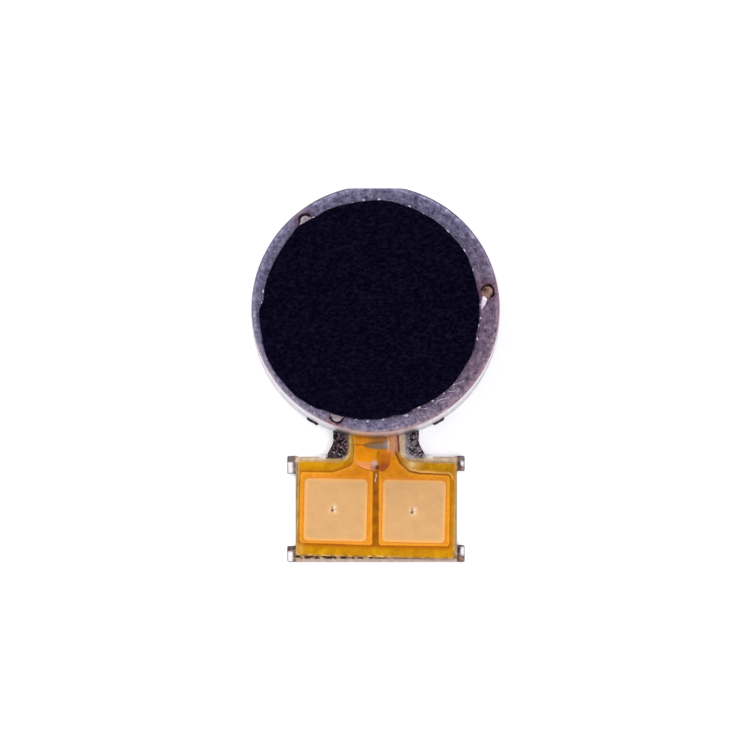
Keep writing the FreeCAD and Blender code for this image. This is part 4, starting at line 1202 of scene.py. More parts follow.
# ------------------------------------------------------------------ gold contact pads
def pad_piece(name, node, centre, dimple, seed):
    line = outline(pad_corners(centre), 0.05, 0.02)
    rings = [circle(r, *dimple, n=40 if r > 0.05 else 20) for r in (0.02, 0.045, 0.075, 0.11, 0.15, 0.20, 0.27)]
    bands = [inset(line, q) for q in (0.03, 0.06, 0.09, 0.12)]

    def top(x, y, d):
        z = 0.2905 - 0.0075 * (1 - smoothstep(0.0, 0.115, d)) + 0.0006 * bumps(x, y, seed=seed, scale=0.7, octaves=2)
        r = np.hypot(x - dimple[0], y - dimple[1])
        a = np.arctan2(y - dimple[1], x - dimple[0])
        star = 1 + 0.55 * np.cos(2 * (a - 0.9)) + 0.35 * np.cos(3 * a + seed)
        z = z - 0.012 * np.exp(-(r / 0.060) ** 2) + 0.0036 * star * np.exp(-((r - 0.13) / 0.050) ** 2)
        return z

    v, f = slab(line, (), [*rings, *bands], spacing=0.085, top=top, bottom=0.2753, edge=0.004, rings=1)

    def colour(co):
        x, y, z = co.T
        p = np.c_[x, y]
        d = signed(p, line)
        hi = bumps(x, y, seed=seed + 3, scale=1.2, octaves=3)
        col = np.tile(S(231, 180, 121), (len(x), 1))
        col = lay(col, S(221, 172, 118), np.clip(bumps(x, y, seed=seed + 5, scale=0.22, octaves=2), 0, 1) * 0.6)
        # painted shading: the pad lighter towards its bottom
        col = lay(col, S(230, 179, 120), smoothstep(centre[1] - 0.2, centre[1] - 1.1, y) * 0.6)
        col = lay(col, S(214, 164, 108), np.clip(hi, 0, 1) * 0.35)
        col = lay(col, S(246, 196, 140), np.clip(-hi, 0, 1) * 0.25)
        # painted highlight: a peach rim on the pad's sloped edge, weaker towards the top
        rim = 1 - smoothstep(0.080, 0.150, d)
        col = lay(col, S(255, 192, 108), rim * (1 - 0.30 * np.clip(y - centre[1], 0, 1)) * 0.95)
        col = lay(col, S(252, 168, 66), (1 - smoothstep(0.015, 0.05, d)) * 0.85)
        # round the probe dent: painted highlights (a pale ring and rays) and painted shade (dark spots in the dent)
        r = np.hypot(x - dimple[0], y - dimple[1])
        a = np.arctan2(y - dimple[1], x - dimple[0])
        col = lay(col, S(255, 218, 172), smoothstep(0.30, 0.08, r) * smoothstep(0.03, 0.08, r) * (0.22 + 0.22 * np.cos(3 * a + seed)))
        for turn, reach, power in ((0.85, 0.30, 8), (2.5, 0.17, 14), (5.6, 0.24, 10)):
            ray = np.clip(np.cos(a - turn), 0, 1) ** power
            col = lay(col, S(255, 240, 216), smoothstep(reach, 0.07, r) * smoothstep(0.03, 0.06, r) * ray * 0.9)
        col = lay(col, S(120, 70, 40), smoothstep(0.085, 0.03, np.hypot(x - dimple[0] + 0.012, y - dimple[1] + 0.020)) * 0.95)
        col = lay(col, S(150, 96, 60), smoothstep(0.07, 0.02, np.hypot(x - dimple[0] + 0.02, y - dimple[1] - 0.085)) * 0.7)
        return col

    m = Mat(name + "_gold", Metallic=0.20, Specular_IOR_Level=0.35)
    col = m.attr("tone", True)
    x, y, z = m.xyz()
    brush = m.noise(1.0, 4.0, 0.7, vec=m.comb(m.mul(x, 3.0), m.mul(y, 26.0), z))
    n1, n2 = m.noise(7.0, 4.0, 0.65), m.noise(24.0, 2.0, 0.6)
    k = m.remap(m.add(m.mul(brush, 0.45), m.add(m.mul(n1, 0.30), m.mul(n2, 0.25))), 0.32, 0.68, 0.93, 1.06)
    mat = m.set(Base_Color=m.mix(1.0, col, m.comb(k, k, k), "MULTIPLY"), Roughness=m.remap(n1, 0.3, 0.7, 0.40, 0.54),
                Normal=m.bump(m.add(m.mul(brush, 0.5), m.add(m.mul(n1, 0.4), m.mul(n2, 0.3))), 0.004, 0.7))
    return make(name, v, f, "housing", mat, [node], smooth=60, attributes={"tone": colour})


pad_piece("gold_pad_left", "contact_pad_left", PAD_L, DIMPLE_L, 71)
pad_piece("gold_pad_right", "contact_pad_right", PAD_RR, DIMPLE_R, 81)


# ------------------------------------------------------------------ clear glue over the flex where it leaves the can
glue_line = outline([(-0.93, -4.84, 0.05), (-0.85, -5.50, 0.40), (-0.90, -5.97, 0.12), (-0.62, -6.21, 0.20), (-0.28, -6.33, 0.30), (0.34, -6.35, 0.16),
                     (0.57, -6.12, 0.15), (0.59, -4.84, 0.05)], 0.04, 0.02)


def glue_top(x, y, d):
    z = 0.3010 + 0.052 * smoothstep(0.0, 0.20, d)
    z = z + 0.006 * smoothstep(-5.6, -5.0, y) - 0.022 * blob(x, y, -0.02, -5.30, 0.50, 0.16, 0.7)
    z = z - 0.012 * blob(x, y, -0.30, -6.08, 0.45, 0.20, 0.8)
    return z + 0.002 * bumps(x, y, seed=91, scale=1.3, octaves=2) * smoothstep(0, 0.1, d)


v, f = slab(glue_line, (), [inset(glue_line, q) for q in (0.03, 0.06, 0.11)], spacing=0.04, top=glue_top,
            bottom=lambda x, y, d: 0.2865 + 0.0140 * smoothstep(-0.05, 0.0, into_copper(np.c_[x, y])), edge=0.0, rings=1)


def glue_colour(co):
    x, y, z = co.T
    p = np.c_[x, y]
    d = signed(p, glue_line)
    hi = bumps(x, y, seed=93, scale=1.6, octaves=3)
    col = np.tile(S(255, 158, 2), (len(x), 1))
    col = lay(col, S(255, 164, 12), np.clip(hi, 0, 1) * 0.5)
    col = lay(col, S(226, 126, 0), np.clip(-hi, 0, 1) * 0.5)
    # upper part: brown towards the right under the can, a painted shade
    col = lay(col, S(236, 146, 34), smoothstep(-5.30, -5.10, y) * (x < 0.3) * 0.6)
    col = lay(col, S(178, 112, 58), smoothstep(-0.42, -0.05, x) * smoothstep(-5.24, -5.08, y) * 0.9)
    # dark thread that runs into a lens-shaped grey patch, a painted reflection
    col = lay(col, S(150, 78, 6), smoothstep(0.035, 0.015, np.abs(y + 5.285 + 0.02 * x)) * smoothstep(-0.90, -0.80, x) * (x < -0.35) * 0.8)
    half = 0.175 * np.sqrt(np.clip((x + 0.52) / 0.60, 0, 1)) + 1e-4
    lens = smoothstep(1.35, 0.60, np.abs(y + 5.285) / half) * (x > -0.52) * smoothstep(0.62, 0.50, x)
    col = lay(col, S(146, 104, 62), lens * 0.85)
    col = lay(col, S(150, 130, 116), (1 - smoothstep(0.45, 1.1, np.hypot((x - 0.16) / 0.46, (y + 5.34) / 0.125))) * 0.9)
    col = lay(col, S(118, 76, 40), smoothstep(0.06, 0.0, np.abs(y + 5.19 - 0.05 * x)) * smoothstep(-0.40, -0.15, x) * (x < 0.5) * 0.45)
    col = lay(col, S(176, 160, 164), (1 - smoothstep(0.3, 1.3, np.hypot((x - 0.42) / 0.14, (y + 5.27) / 0.17))) * 0.6)
    # lower right: red-brown, darker downwards
    rb = smoothstep(0.08, 0.24, x) * smoothstep(-5.36, -5.78, y)
    col = lay(col, S(204, 106, 6), rb * 0.9)
    col = lay(col, S(156, 70, 34), rb * smoothstep(-5.85, -6.15, y) * 0.9)
    col = lay(col, S(158, 104, 14), smoothstep(0.085, 0.045, np.abs(x - 0.11 - 0.015 * np.sin(9 * y))) * smoothstep(-5.46, -5.58, y) * (0.65 + 0.25 * hi))
    # pale lip of the meniscus at the foot, with its brown outline
    lip = smoothstep(-5.93, -6.0, y + 0.10 * (x + 0.4) ** 2) * smoothstep(0.03, 0.07, d) * smoothstep(0.12, -0.02, x)
    col = lay(col, S(244, 160, 96), lip * 0.9)
    col = lay(col, S(176, 108, 84), lip * smoothstep(-0.30, -0.08, x) * smoothstep(-6.02, -6.12, y) * 0.8)
    col = lay(col, S(206, 186, 198), blob(x, y, -0.04, -6.04, 0.085, 0.105, 1.0) * 0.85)
    col = lay(col, S(96, 34, 22), blob(x, y, 0.07, -6.20, 0.085, 0.10, 0.6) * 0.95)
    low = smoothstep(-5.86, -5.94, y)
    col = lay(col, S(178, 92, 22), (1 - smoothstep(0.02, 0.055, d)) * low * 0.9)
    # painted highlight: bright right-hand edge beside the grey painted reflection
    col = lay(col, S(236, 206, 196), (1 - smoothstep(0.2, 1.2, np.hypot((x - 0.525) / 0.062, (y + 5.27) / 0.34))) * 0.85)
    col = lay(col, S(250, 178, 80), (1 - smoothstep(0.02, 0.06, d)) * (x < -0.7) * 0.6)
    return col


m = Mat("clear_glue_gloss", Specular_IOR_Level=0.22, Coat_Weight=0.10, Coat_Roughness=0.10)
n1, n2 = m.noise(3.0, 3.0, 0.6), m.noise(16.0, 2.0, 0.6)
k = m.remap(m.add(m.mul(n1, 0.6), m.mul(n2, 0.4)), 0.32, 0.68, 0.92, 1.08)
GLUE_MAT = m.set(Base_Color=m.mix(1.0, m.attr("tone", True), m.comb(k, k, k), "MULTIPLY"), Roughness=m.remap(n1, 0.3, 0.7, 0.14, 0.24), Normal=m.bump(n1, 0.004, 0.6))
glue = make("neck_clear_glue", v, f, "housing", GLUE_MAT, ["exit_sealant"], smooth=70, attributes={"tone": glue_colour})

# ------------------------------------------------------------------ weld nuggets of the spring
parts = []
for i, (wx, wy) in enumerate(WELD_XY):
    prof = [(0, 2.9005), (0.10, 2.9005), (0.20, 2.9005), (0.276, 2.9005), (0.278, 2.93), (0.278, 2.962), (0.270, 2.974), (0.255, 2.980),
            (0.235, 2.9805), (0.215, 2.978), (0.195, 2.981), (0.170, 2.986), (0.145, 2.989), (0.12, 2.988), (0.095, 2.984), (0.07, 2.979), (0.045, 2.975), (0.02, 2.9735), (0, 2.973)]
    v, f = lathe(prof, 48)
    w = bumps(v[:, 0], v[:, 1], seed=101 + i, scale=3.2, octaves=2)
    v[:, 2] += np.where(v[:, 2] > 2.95, 0.004 * w, 0)
    parts.append((v + np.array((wx, wy, 0)), f))
v, f = joined(parts)
OUTWARD = [math.radians(55), math.radians(122), math.radians(262)]


def nugget_colour(co):
    x, y, z = co.T
    col = np.tile(S(190, 168, 172), (len(x), 1))
    for i, (wx, wy) in enumerate(WELD_XY):
        dx, dy = x - wx, y - wy
        r = np.hypot(dx, dy)
        mine = r < 0.3
        a = np.arctan2(dy, dx)
        away = np.cos(a - OUTWARD[i])
        w = bumps(x, y, seed=111 + i, scale=2.6, octaves=2)
        c = np.tile((S(196, 150, 138), S(226, 214, 226), S(232, 214, 226))[i], (len(x), 1))
        if i == 0:
            c = lay(c, S(196, 160, 148), smoothstep(-0.10, 0.12, dx) * 0.8)
            c = lay(c, S(112, 84, 74), blob(dx, dy, -0.10, 0.05, 0.13, 0.12, 0.9) * 0.85)
            c = lay(c, S(62, 38, 32), blob(dx, dy, -0.11, 0.07, 0.07, 0.05, 0.8) * 0.8)
            c = lay(c, S(150, 104, 92), np.clip(w, 0, 1) * 0.5)
        else:
            c = lay(c, S(180, 160, 176), np.clip(w, 0, 1) * 0.6)
        # painted shade: a dark crescent on one side of the nugget's outer ring, inside its pocket
        dark = smoothstep(0.192, 0.212, r) * smoothstep((-0.62, -0.05, -0.05)[i], (-0.35, 0.28, 0.28)[i], away)
        c = lay(c, S(14, 6, 16), dark * 0.98)
        c = lay(c, S(60, 30, 44), smoothstep(0.262, 0.277, r) * 0.5)
        a2 = mine[:, None].astype(float)
        col = col * (1 - a2) + c * a2
    return col


m = Mat("weld_nugget_burnt_and_shaded", Metallic=0.7)
n1 = m.noise(9.0, 4.0, 0.65)
k = m.remap(n1, 0.3, 0.7, 0.72, 1.22)
make("spring_weld_nuggets", v, f, "housing",
     m.set(Base_Color=m.mix(1.0, m.attr("tone", True), m.comb(k, k, k), "MULTIPLY"), Roughness=m.remap(n1, 0.3, 0.7, 0.22, 0.42), Normal=m.bump(n1, 0.010, 0.8)),
     ["spring_weld_spots"], smooth=60, attributes={"tone": nugget_colour})

# ------------------------------------------------------------------ weld beads at the foot of the can, painted near-black as the shade in the notches
parts = []
for i, a in enumerate(NOTCHES):
    c, s = math.cos(math.radians(a)), math.sin(math.radians(a))
    nx, nz = 20, 12
    vv, ff = [], []
    for layer in (0, 1):
        for ix in range(nx + 1):
            for iz in range(nz + 1):
                t, h = -0.255 + 0.51 * ix / nx, 0.203 + (0.545 - 0.203) * iz / nz
                e = min(ix, nx - ix) / 3.0, min(iz, nz - iz) / 3.0
                q = min(1.0, e[0]) ** 0.5 * min(1.0, e[1]) ** 0.5
                if layer and 0 < ix < nx:
                    t *= 1.20
                rr = 4.815 if layer == 0 else 4.90 + 0.172 * q + 0.014 * float(bumps(np.array(t * 1.0), np.array(h), seed=121 + i, scale=3.5, octaves=2)) * q
                vv.append((rr * c - t * s, rr * s + t * c, h))
    n = (nx + 1) * (nz + 1)
    for ix in range(nx):
        for iz in range(nz):
            k = ix * (nz + 1) + iz
            ff += [(k, k + 1, k + nz + 2, k + nz + 1), (n + k, n + k + nz + 1, n + k + nz + 2, n + k + 1)]
    ring = [ix * (nz + 1) for ix in range(nx + 1)] + [nx * (nz + 1) + iz for iz in range(1, nz + 1)] + [ix * (nz + 1) + nz for ix in range(nx - 1, -1, -1)] + [iz for iz in range(nz - 1, 0, -1)]
    for j, k in enumerate(ring):
        l = ring[(j + 1) % len(ring)]
        ff.append((k, l, l + n, k + n))
    parts.append((np.array(vv), ff))
v, f = joined(parts)


def bead_colour(co):
    x, y, z = co.T
    a = np.degrees(np.arctan2(y, x)) % 360
    w = bumps(x, y, z, seed=131, scale=2.4, octaves=3)
    # near-black base: painted shade in the notches, over the burnt weld
    col = np.tile(S(26, 18, 24), (len(x), 1))
    col = lay(col, S(84, 70, 84), (np.abs(a - 300.5) < 6) * smoothstep(297.8, 299.0, a) * 0.8)
    col = lay(col, S(96, 62, 60), np.clip(w, 0, 1) * 0.30)
    return col


m = Mat("weld_bead_burnt_and_shaded", Metallic=0.55)
n1 = m.noise(8.0, 4.0, 0.7)
k = m.remap(n1, 0.3, 0.7, 0.7, 1.3)
make("foot_weld_beads", v, f, "housing",
     m.set(Base_Color=m.mix(1.0, m.attr("tone", True), m.comb(k, k, k), "MULTIPLY"), Roughness=m.remap(n1, 0.3, 0.7, 0.45, 0.7), Normal=m.bump(n1, 0.02, 0.9)),
     ["bracket_weld_beads"], smooth=50, attributes={"tone": bead_colour})

# ------------------------------------------------------------------ glue film under the foam, with beads pressed out at its edge; the near-white colour of the beads and threads is a painted glint
NG = 360
gr = around(NG, RADII) - 0.045 + 0.050 * np.clip(bumps(np.cos(ang) * 4.4, np.sin(ang) * 4.4, seed=141, scale=1.3, octaves=3), -0.4, 1.2)
gline = circle(0, *FOAM_C, n=NG, radii=gr)
parts = [slab(gline, (), [inset(gline, 0.08)], spacing=0.45, top=3.0495, bottom=3.0003, edge=0.034, rings=3)]
rng = np.random.RandomState(7)
SPECKS = [(62, 0.050), (70, 0.04), (22, 0.036), (33, 0.055), (46, 0.050), (86, 0.060), (94, 0.045), (100, 0.035), (122, 0.050), (129, 0.04), (170, 0.050),
          (176, 0.035), (205, 0.03), (238, 0.035), (262, 0.040), (268, 0.060), (276, 0.035), (288, 0.060), (296, 0.045), (304, 0.050), (311, 0.040),
          (318, 0.035), (345, 0.045), (352, 0.050), (356, 0.060), (3, 0.035)]
blobs = []
for deg, size in SPECKS:
    t = math.radians(deg)
    rr = float(np.interp(deg, np.arange(NG), fr if len(fr) == NG else gr)) + rng.uniform(-0.01, 0.05)
    cx, cy = FOAM_C[0] + rr * math.cos(t), FOAM_C[1] + rr * math.sin(t)
    h = size * rng.uniform(0.7, 1.1)
    vv, ff = lathe([(0, 3.0003), (size * 0.5, 3.0003), (size, 3.0003), *[(size * math.cos(q), 3.001 + h * math.sin(q)) for q in np.radians((10, 30, 50, 70, 82))], (0, 3.001 + h)], 18)
    lx = rng.uniform(0.8, 1.9)
    al = t + math.pi / 2 + rng.uniform(-0.3, 0.3)
    u = np.array((math.cos(al), math.sin(al)))
    p = vv[:, :2]
    p = p + np.outer((p @ u) * (lx - 1), u)
    blobs.append((np.c_[p + np.array((cx, cy)), vv[:, 2]], ff))
# thin threads of glue over the lower right of the rim, and the pale streak beside the right-hand weld
for (a0, r0, a1, r1, w) in ((302, 4.44, 309, 4.60, 0.018), (306, 4.40, 300, 4.58, 0.014), (311, 4.40, 314, 4.62, 0.015), (294, 4.42, 298, 4.56, 0.014), (316, 4.44, 321, 4.58, 0.012)):
    path = []
    for j in range(13):
        q = j / 12
        a = math.radians(a0 + (a1 - a0) * q + 0.6 * math.sin(q * 5 + a0))
        rr = r0 + (r1 - r0) * q + 0.02 * math.sin(q * 7 + a0)
        path.append((rr * math.cos(a), rr * math.sin(a), 3.002))
    blobs.append(tube(path, [w * (0.35 + 0.65 * math.sin(math.pi * min(1, max(0.06, j / 12)))) for j in range(13)], 8))
v, f = joined(parts + blobs)


# near-white: painted glints on clear glue
m = Mat("clear_adhesive_painted_glint", Specular_IOR_Level=0.6, Coat_Weight=0.6, Coat_Roughness=0.06)
n1 = m.noise(6.0, 3.0, 0.6)
make("foam_adhesive_film", v, f, "housing",
     m.set(Base_Color=m.ramp(n1, [(0.3, srgb(178, 170, 190)), (0.7, srgb(244, 240, 250))]), Roughness=m.remap(n1, 0.3, 0.7, 0.12, 0.28), Normal=m.bump(n1, 0.006, 0.7)),
     ["foam_adhesive"], smooth=60)

# pale smear of glue between the right-hand weld and the foam, its near-white colour a painted glint
smear = outline([(4.32, 0.54, 0.03), (4.49, 0.38, 0.04), (4.40, 0.14, 0.04), (4.25, -0.06, 0.012), (4.235, 0.18, 0.04)], 0.03, 0.015)
v, f = slab(smear, (), (), spacing=0.04, top=lambda x, y, d: 3.004 + 0.012 * smoothstep(0, 0.06, d), bottom=3.0002, edge=0.0, rings=1)
m = Mat("glue_smear", Specular_IOR_Level=0.6, Coat_Weight=0.5, Coat_Roughness=0.08)
n1 = m.noise(9.0, 3.0, 0.6)
make("weld_glue_smear", v, f, "housing",
     m.set(Base_Color=m.ramp(n1, [(0.3, srgb(222, 202, 224)), (0.65, srgb(255, 246, 255))]), Roughness=m.remap(n1, 0.3, 0.7, 0.15, 0.3), Normal=m.bump(n1, 0.006, 0.7)),
     (), smooth=70)


# ------------------------------------------------------------------ what the can holds
def metal(name, stops, rough=(0.2, 0.35), scale=6.0, bump=0.006, metallic=1.0, turned_lines=0.0, **sockets):
    m = Mat(name, Metallic=metallic, **sockets)
    n1, n2 = m.noise(scale, 4.0, 0.62), m.noise(scale * 4.2, 3.0, 0.65)
    f = m.add(m.mul(n1, 0.7), m.mul(n2, 0.3))
    h = f
    if turned_lines:
        lines = m.noise(1.0, 3.0, 0.6, vec=m.polar(kr=turned_lines, ka=0.8, kz=turned_lines))
        f = m.add(m.mul(f, 0.6), m.mul(lines, 0.4))
        h = m.add(m.mul(h, 0.4), m.mul(lines, 0.9))
    return m.set(Base_Color=m.ramp(f, [(0.30, stops[0]), (0.70, stops[1])]), Roughness=m.remap(n2, 0.3, 0.7, *rough), Normal=m.bump(h, bump, 0.8))


# wound coil: real turns of wire on a solid core
R0, R1, Z0, Z1 = 1.95, 2.45, 0.23, 1.45
pitch = 0.0635
layers_z = int((Z1 - Z0) / pitch)
prof = []
wr = pitch / 2
zs = [Z0 + (Z1 - Z0) * (i + 0.5) / layers_z for i in range(layers_z)]
hz = (Z1 - Z0) / layers_z / 2
for zc in zs:                                          # outer side, bottom to top
    prof += [(R1 - 0.022 + 0.022 * math.cos(q), zc + hz * math.sin(q)) for q in np.radians((-80, -45, 0, 45, 80))]
n_top = 8
rs = [R1 - 0.02 - (R1 - R0 - 0.04) * (i + 0.5) / n_top for i in range(n_top)]
hr = (R1 - R0 - 0.04) / n_top / 2
for rc in rs:
    prof += [(rc + hr * math.cos(q), Z1 - 0.022 + 0.022 * math.sin(q)) for q in np.radians((20, 55, 90, 125, 160))]
for zc in zs[::-1]:
    prof += [(R0 + 0.022 - 0.022 * math.cos(q), zc + hz * math.sin(q)) for q in np.radians((80, 45, 0, -45, -80))]
for rc in rs[::-1]:
    prof += [(rc - hr * math.cos(q), Z0 + 0.022 - 0.022 * math.sin(q)) for q in np.radians((20, 55, 90, 125, 160))]
v, f = lathe(prof, 112)
m = Mat("copper_wire_enamelled", Metallic=0.85, Coat_Weight=0.7, Coat_Roughness=0.12)
n1, n2 = m.noise(7.0, 3.0, 0.6), m.noise(1.0, 3.0, 0.6, vec=m.polar(kr=30.0, ka=2.0, kz=30.0))
WIRE = m.set(Base_Color=m.ramp(m.add(m.mul(n1, 0.5), m.mul(n2, 0.5)), [(0.32, srgb(136, 58, 22)), (0.66, srgb(214, 116, 58))]), Roughness=m.remap(n1, 0.3, 0.7, 0.2, 0.34), Normal=m.bump(n2, 0.004, 0.6))
make("wound_coil", v, f, "housing", WIRE, ["voice_coil"], smooth=80)

# lead wires: from the foot of the coil, in a low arch, into the solder
for s, side in ((-1, "left"), (1, "right")):
    a = np.array((s * 0.42, -math.sqrt(R1 ** 2 - 0.42 ** 2) + 0.02, Z0 + 0.16))
    b = np.array((s * 0.55, -3.35 + 0.22 * 0.55, 0.355))
    path = []
    for j in range(17):
        q = j / 16
        p = a * (1 - q) + b * q
        p = p + np.array((s * 0.012 * math.sin(math.pi * q), 0, 0.010 * math.sin(math.pi * q)))
        path.append(p)
    v, f = tube(path, 0.0295, 14)
    make("coil_wire_end_" + side, v, f, "housing", WIRE, ["coil_lead_" + side], smooth=60)

# solder domes with a wetted foot
parts = []
for s in (-1, 1):
    prof = [(0, 0.2755), (0.12, 0.2755), (0.218, 0.2755), (0.219, 0.284), (0.205, 0.292), (0.185, 0.308), (0.160, 0.330), (0.130, 0.352), (0.095, 0.371), (0.055, 0.384), (0.02, 0.389), (0, 0.3895)]
    v, f = lathe(prof, 40)
    r = np.hypot(v[:, 0], v[:, 1])
    w = bumps(v[:, 0], v[:, 1], v[:, 2], seed=151 + s, scale=2.0, octaves=2)
    v[:, 2] += np.where(v[:, 2] > 0.30, 0.004 * w, 0)
    parts.append((v + np.array((s * 0.55, -3.35, 0)), f))
v, f = joined(parts)
make("solder_domes", v, f, "housing", metal("solder_tin", (srgb(170, 172, 178), srgb(226, 228, 232)), (0.16, 0.34), 8.0, 0.008), ["solder_joints"], smooth=60)


def turned_piece(name, node, prof, mat, body="moving_mass", n=128, smooth=36, warp=None):
    v, f = lathe(prof, n, warp)
    return make(name, v, f, body, mat, [node], smooth=smooth)


def soft_corner(r, z, rad, quarter, n=4):
    """Rounded corner of a lathe profile going anticlockwise in (r, z); quarter 0 lower outer, 1 upper outer, 2 upper inner, 3 lower inner."""
    cr, cz = (r - rad if quarter in (0, 1) else r + rad), (z + rad if quarter in (0, 3) else z - rad)
    a0 = (-90, 0, 90, 180)[quarter]
    return arc(cr, cz, rad, a0, a0 + 90, n)


mag = metal("magnet_nickel", (srgb(176, 172, 164), srgb(222, 218, 208)), (0.10, 0.20), 5.0, 0.004)
turned_piece("disc_magnet", "magnet", [(0, 0.90), (1.0, 0.90), *soft_corner(1.65, 0.90, 0.05, 0), *steps((1.65, 0.95), (1.65, 1.90), 4), *soft_corner(1.65, 1.95, 0.05, 1), (1.0, 1.95), (0, 1.95)], mag)
iron = metal("iron_turned", (srgb(120, 118, 120), srgb(168, 164, 164)), (0.24, 0.40), 4.0, 0.006, turned_lines=26.0)
turned_piece("pole_disc", "pole_plate", [(0, 0.70), (0.9, 0.70), *soft_corner(1.70, 0.70, 0.03, 0), *soft_corner(1.70, 0.90, 0.012, 1, 2), (0.9, 0.90), (0, 0.90)], iron)
turned_piece("yoke_cup", "back_yoke",
             [(0, 1.95), (1.4, 1.95), (2.60, 1.95), *arc(2.60, 1.85, 0.10, 90, 0, 4)[0:], *steps((2.70, 1.85), (2.70, 0.82), 5), *soft_corner(2.70, 0.80, 0.02, 3, 2),
              *soft_corner(2.9495, 0.80, 0.02, 0, 2), *steps((2.9495, 0.82), (2.9495, 2.07), 5), *soft_corner(2.9495, 2.15, 0.08, 1, 5), (1.8, 2.15), (0, 2.15)], iron)
tung = metal("tungsten_sintered", (srgb(96, 94, 98), srgb(136, 132, 134)), (0.38, 0.58), 7.5, 0.014, metallic=0.9)
turned_piece("tungsten_ring", "weight_ring",
             [(2.9505, 0.77), (2.97, 0.75), *steps((2.97, 0.75), (4.27, 0.75), 5), (4.262, 0.75), (4.275, 0.753), (4.347, 0.825), (4.35, 0.838), *steps((4.35, 0.838), (4.35, 1.962), 5),
              (4.35, 1.962), (4.347, 1.975), (4.275, 2.047), (4.262, 2.05), *steps((4.262, 2.05), (2.97, 2.05), 5), (2.97, 2.05), (2.9505, 2.03), *steps((2.9505, 2.03), (2.9505, 0.77), 5)],
             tung, smooth=30)
m = Mat("ferrofluid_oily", Metallic=0.2, Coat_Weight=1.0, Coat_Roughness=0.04)
n1 = m.noise(3.0, 3.0)
turned_piece("magnetic_fluid_band", "ferrofluid_ring",
             [(1.7005, 0.735), *[(1.70 + 0.10 * math.sin(math.pi * q / 12), 0.735 + 0.145 * q / 12) for q in range(1, 12)], (1.7005, 0.88)],
             m.set(Base_Color=m.ramp(n1, [(0.3, srgb(18, 14, 12)), (0.7, srgb(44, 32, 24))]), Roughness=m.remap(n1, 0.3, 0.7, 0.08, 0.18), Normal=m.bump(n1, 0.004, 0.5)),
             n=160, smooth=80)

parts = []
for i in range(3):
    a = math.radians(80 + 120 * i)
    v, f = lathe([(0, 2.2503), (0.06, 2.2503), (0.118, 2.2503), (0.119, 2.258), (0.105, 2.266), (0.085, 2.2655), (0.06, 2.262), (0.03, 2.2665), (0, 2.268)], 28)
    parts.append((v + np.array((1.42 * math.cos(a), 1.42 * math.sin(a), 0)), f))
v, f = joined(parts)
make("yoke_weld_nuggets", v, f, "moving_mass", metal("weld_nugget_inner", (srgb(90, 66, 62), srgb(178, 158, 156)), (0.25, 0.4), 12.0, 0.008), ["yoke_weld_spots"], smooth=50)

# dampers: soft pads with a crowned face
for name, node, z0, z1, rad in (("lower_soft_pad", "lower_damper", 0.2003, 0.369, 1.15), ("upper_soft_pad", "upper_damper", 2.601, 2.7997, 1.25)):
    line = circle(rad, n=140)
    if name.startswith("lower"):
        v, f = slab(line, spacing=0.12, top=lambda x, y, d: z1 - 0.004 * np.exp(-d / 0.2) + 0.0 * x, bottom=z0, edge=0.035, edge_low=0.008)
    else:
        v, f = slab(line, spacing=0.12, top=z1, bottom=lambda x, y, d: z0 + 0.004 * np.exp(-d / 0.2) + 0.0 * x, edge=0.008, edge_low=0.035)
    m = Mat(name + "_rubber", Specular_IOR_Level=0.25)
    n1, n2 = m.voronoi(9.0, "SMOOTH_F1", smooth=0.4), m.noise(22.0, 3.0, 0.65)
    g = m.add(m.mul(n1, 0.6), m.mul(n2, 0.4))
    pad = make(name, v, f, "housing", m.set(Base_Color=m.ramp(g, [(0.25, srgb(52, 50, 54)), (0.75, srgb(26, 24, 28))]), Roughness=m.remap(n2, 0.3, 0.7, 0.7, 0.9), Normal=m.bump(g, 0.012, 0.8)), [node], smooth=50)

# three-arm leaf spring, which stretches between the can and the mass
T = 0.10
ZL, ZH = 2.15, 2.80


def leaf(z0, ri_, ro_, flat=None, n=144):
    rad = 0.012
    prof = [*soft_corner(ro_, z0, rad, 0, 2), *soft_corner(ro_, z0 + T, rad, 1, 2), *soft_corner(ri_, z0 + T, rad, 2, 2), *soft_corner(ri_, z0, rad, 3, 2)]
    v, f = lathe(prof, n)
    if flat is not None:
        v[:, 1] = np.minimum(v[:, 1], flat)
    return v, f


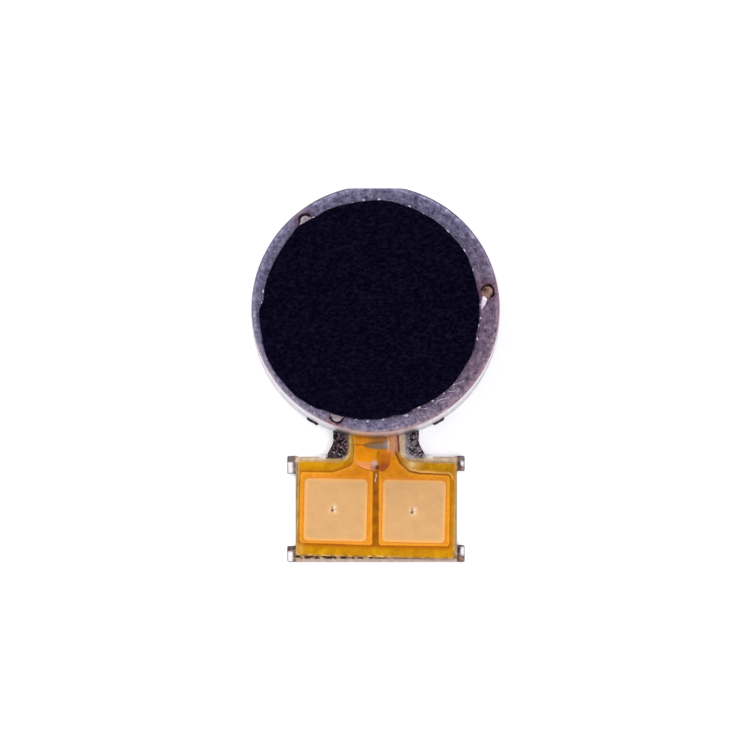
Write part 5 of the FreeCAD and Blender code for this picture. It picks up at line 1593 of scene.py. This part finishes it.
def spring_arm(start):
    n, skin = 96, 0.004
    r0, r1, h = 1.60 - 0.26, 4.12 + 0.22, 0.275
    verts = []
    prof = [(-h, 0.012), (-h + 0.012, 0), (-h / 2, 0), (0, 0), (h / 2, 0), (h - 0.012, 0), (h, 0.012), (h, T - 2 * skin - 0.012), (h - 0.012, T - 2 * skin),
            (h / 2, T - 2 * skin), (0, T - 2 * skin), (-h / 2, T - 2 * skin), (-h + 0.012, T - 2 * skin), (-h, T - 2 * skin - 0.012)]
    for i in range(n + 1):
        s = i / n
        a = math.radians(start + 235.0 * s)
        r = r0 + (r1 - r0) * s
        t = min(1.0, max(0.0, (s - 0.10) / 0.80))
        t = t * t * (3 - 2 * t)
        z = ZL + skin + (ZH - T - ZL) * t
        for (dr, dz) in prof:
            verts.append(((r + dr) * math.cos(a), (r + dr) * math.sin(a), z + dz))
    k = len(prof)
    faces = [(i * k + j, i * k + (j + 1) % k, (i + 1) * k + (j + 1) % k, (i + 1) * k + j) for i in range(n) for j in range(k)]
    faces += [tuple(range(k))[::-1], tuple(range(n * k, (n + 1) * k))]
    return np.array(verts), faces


v, f = joined([leaf(ZH - T, 4.12, 4.75, 4.62), leaf(ZL, 0.60, 1.60), *[spring_arm(20 + 120 * i) for i in range(3)]])
SPRING_MAT = metal("spring_steel_rolled", (srgb(164, 158, 150), srgb(214, 208, 200)), (0.18, 0.30), 3.0, 0.004, turned_lines=0.0)
spring = make("three_arm_spring", v, f, None, SPRING_MAT, ["suspension_spring"], smooth=40)
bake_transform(spring)

# films and traces that keep their own shape
m = Mat("adhesive_amber", Specular_IOR_Level=0.5)
n1 = m.noise(5.0, 3.0)
ADH = m.set(Base_Color=m.ramp(n1, [(0.3, srgb(196, 178, 138)), (0.7, srgb(226, 212, 178))]), Roughness=m.remap(n1, 0.3, 0.7, 0.2, 0.4), Normal=m.bump(n1, 0.004, 0.6))
CU = metal("copper_foil", (srgb(196, 104, 56), srgb(238, 156, 104)), (0.24, 0.38), 6.0, 0.004)
for n_, mat_ in (("flex_adhesive", ADH), ("coil_adhesive", ADH), ("copper_trace_left", CU), ("copper_trace_right", CU)):
    o = nodes[n_]
    o.data.materials.clear()
    o.data.materials.append(mat_)
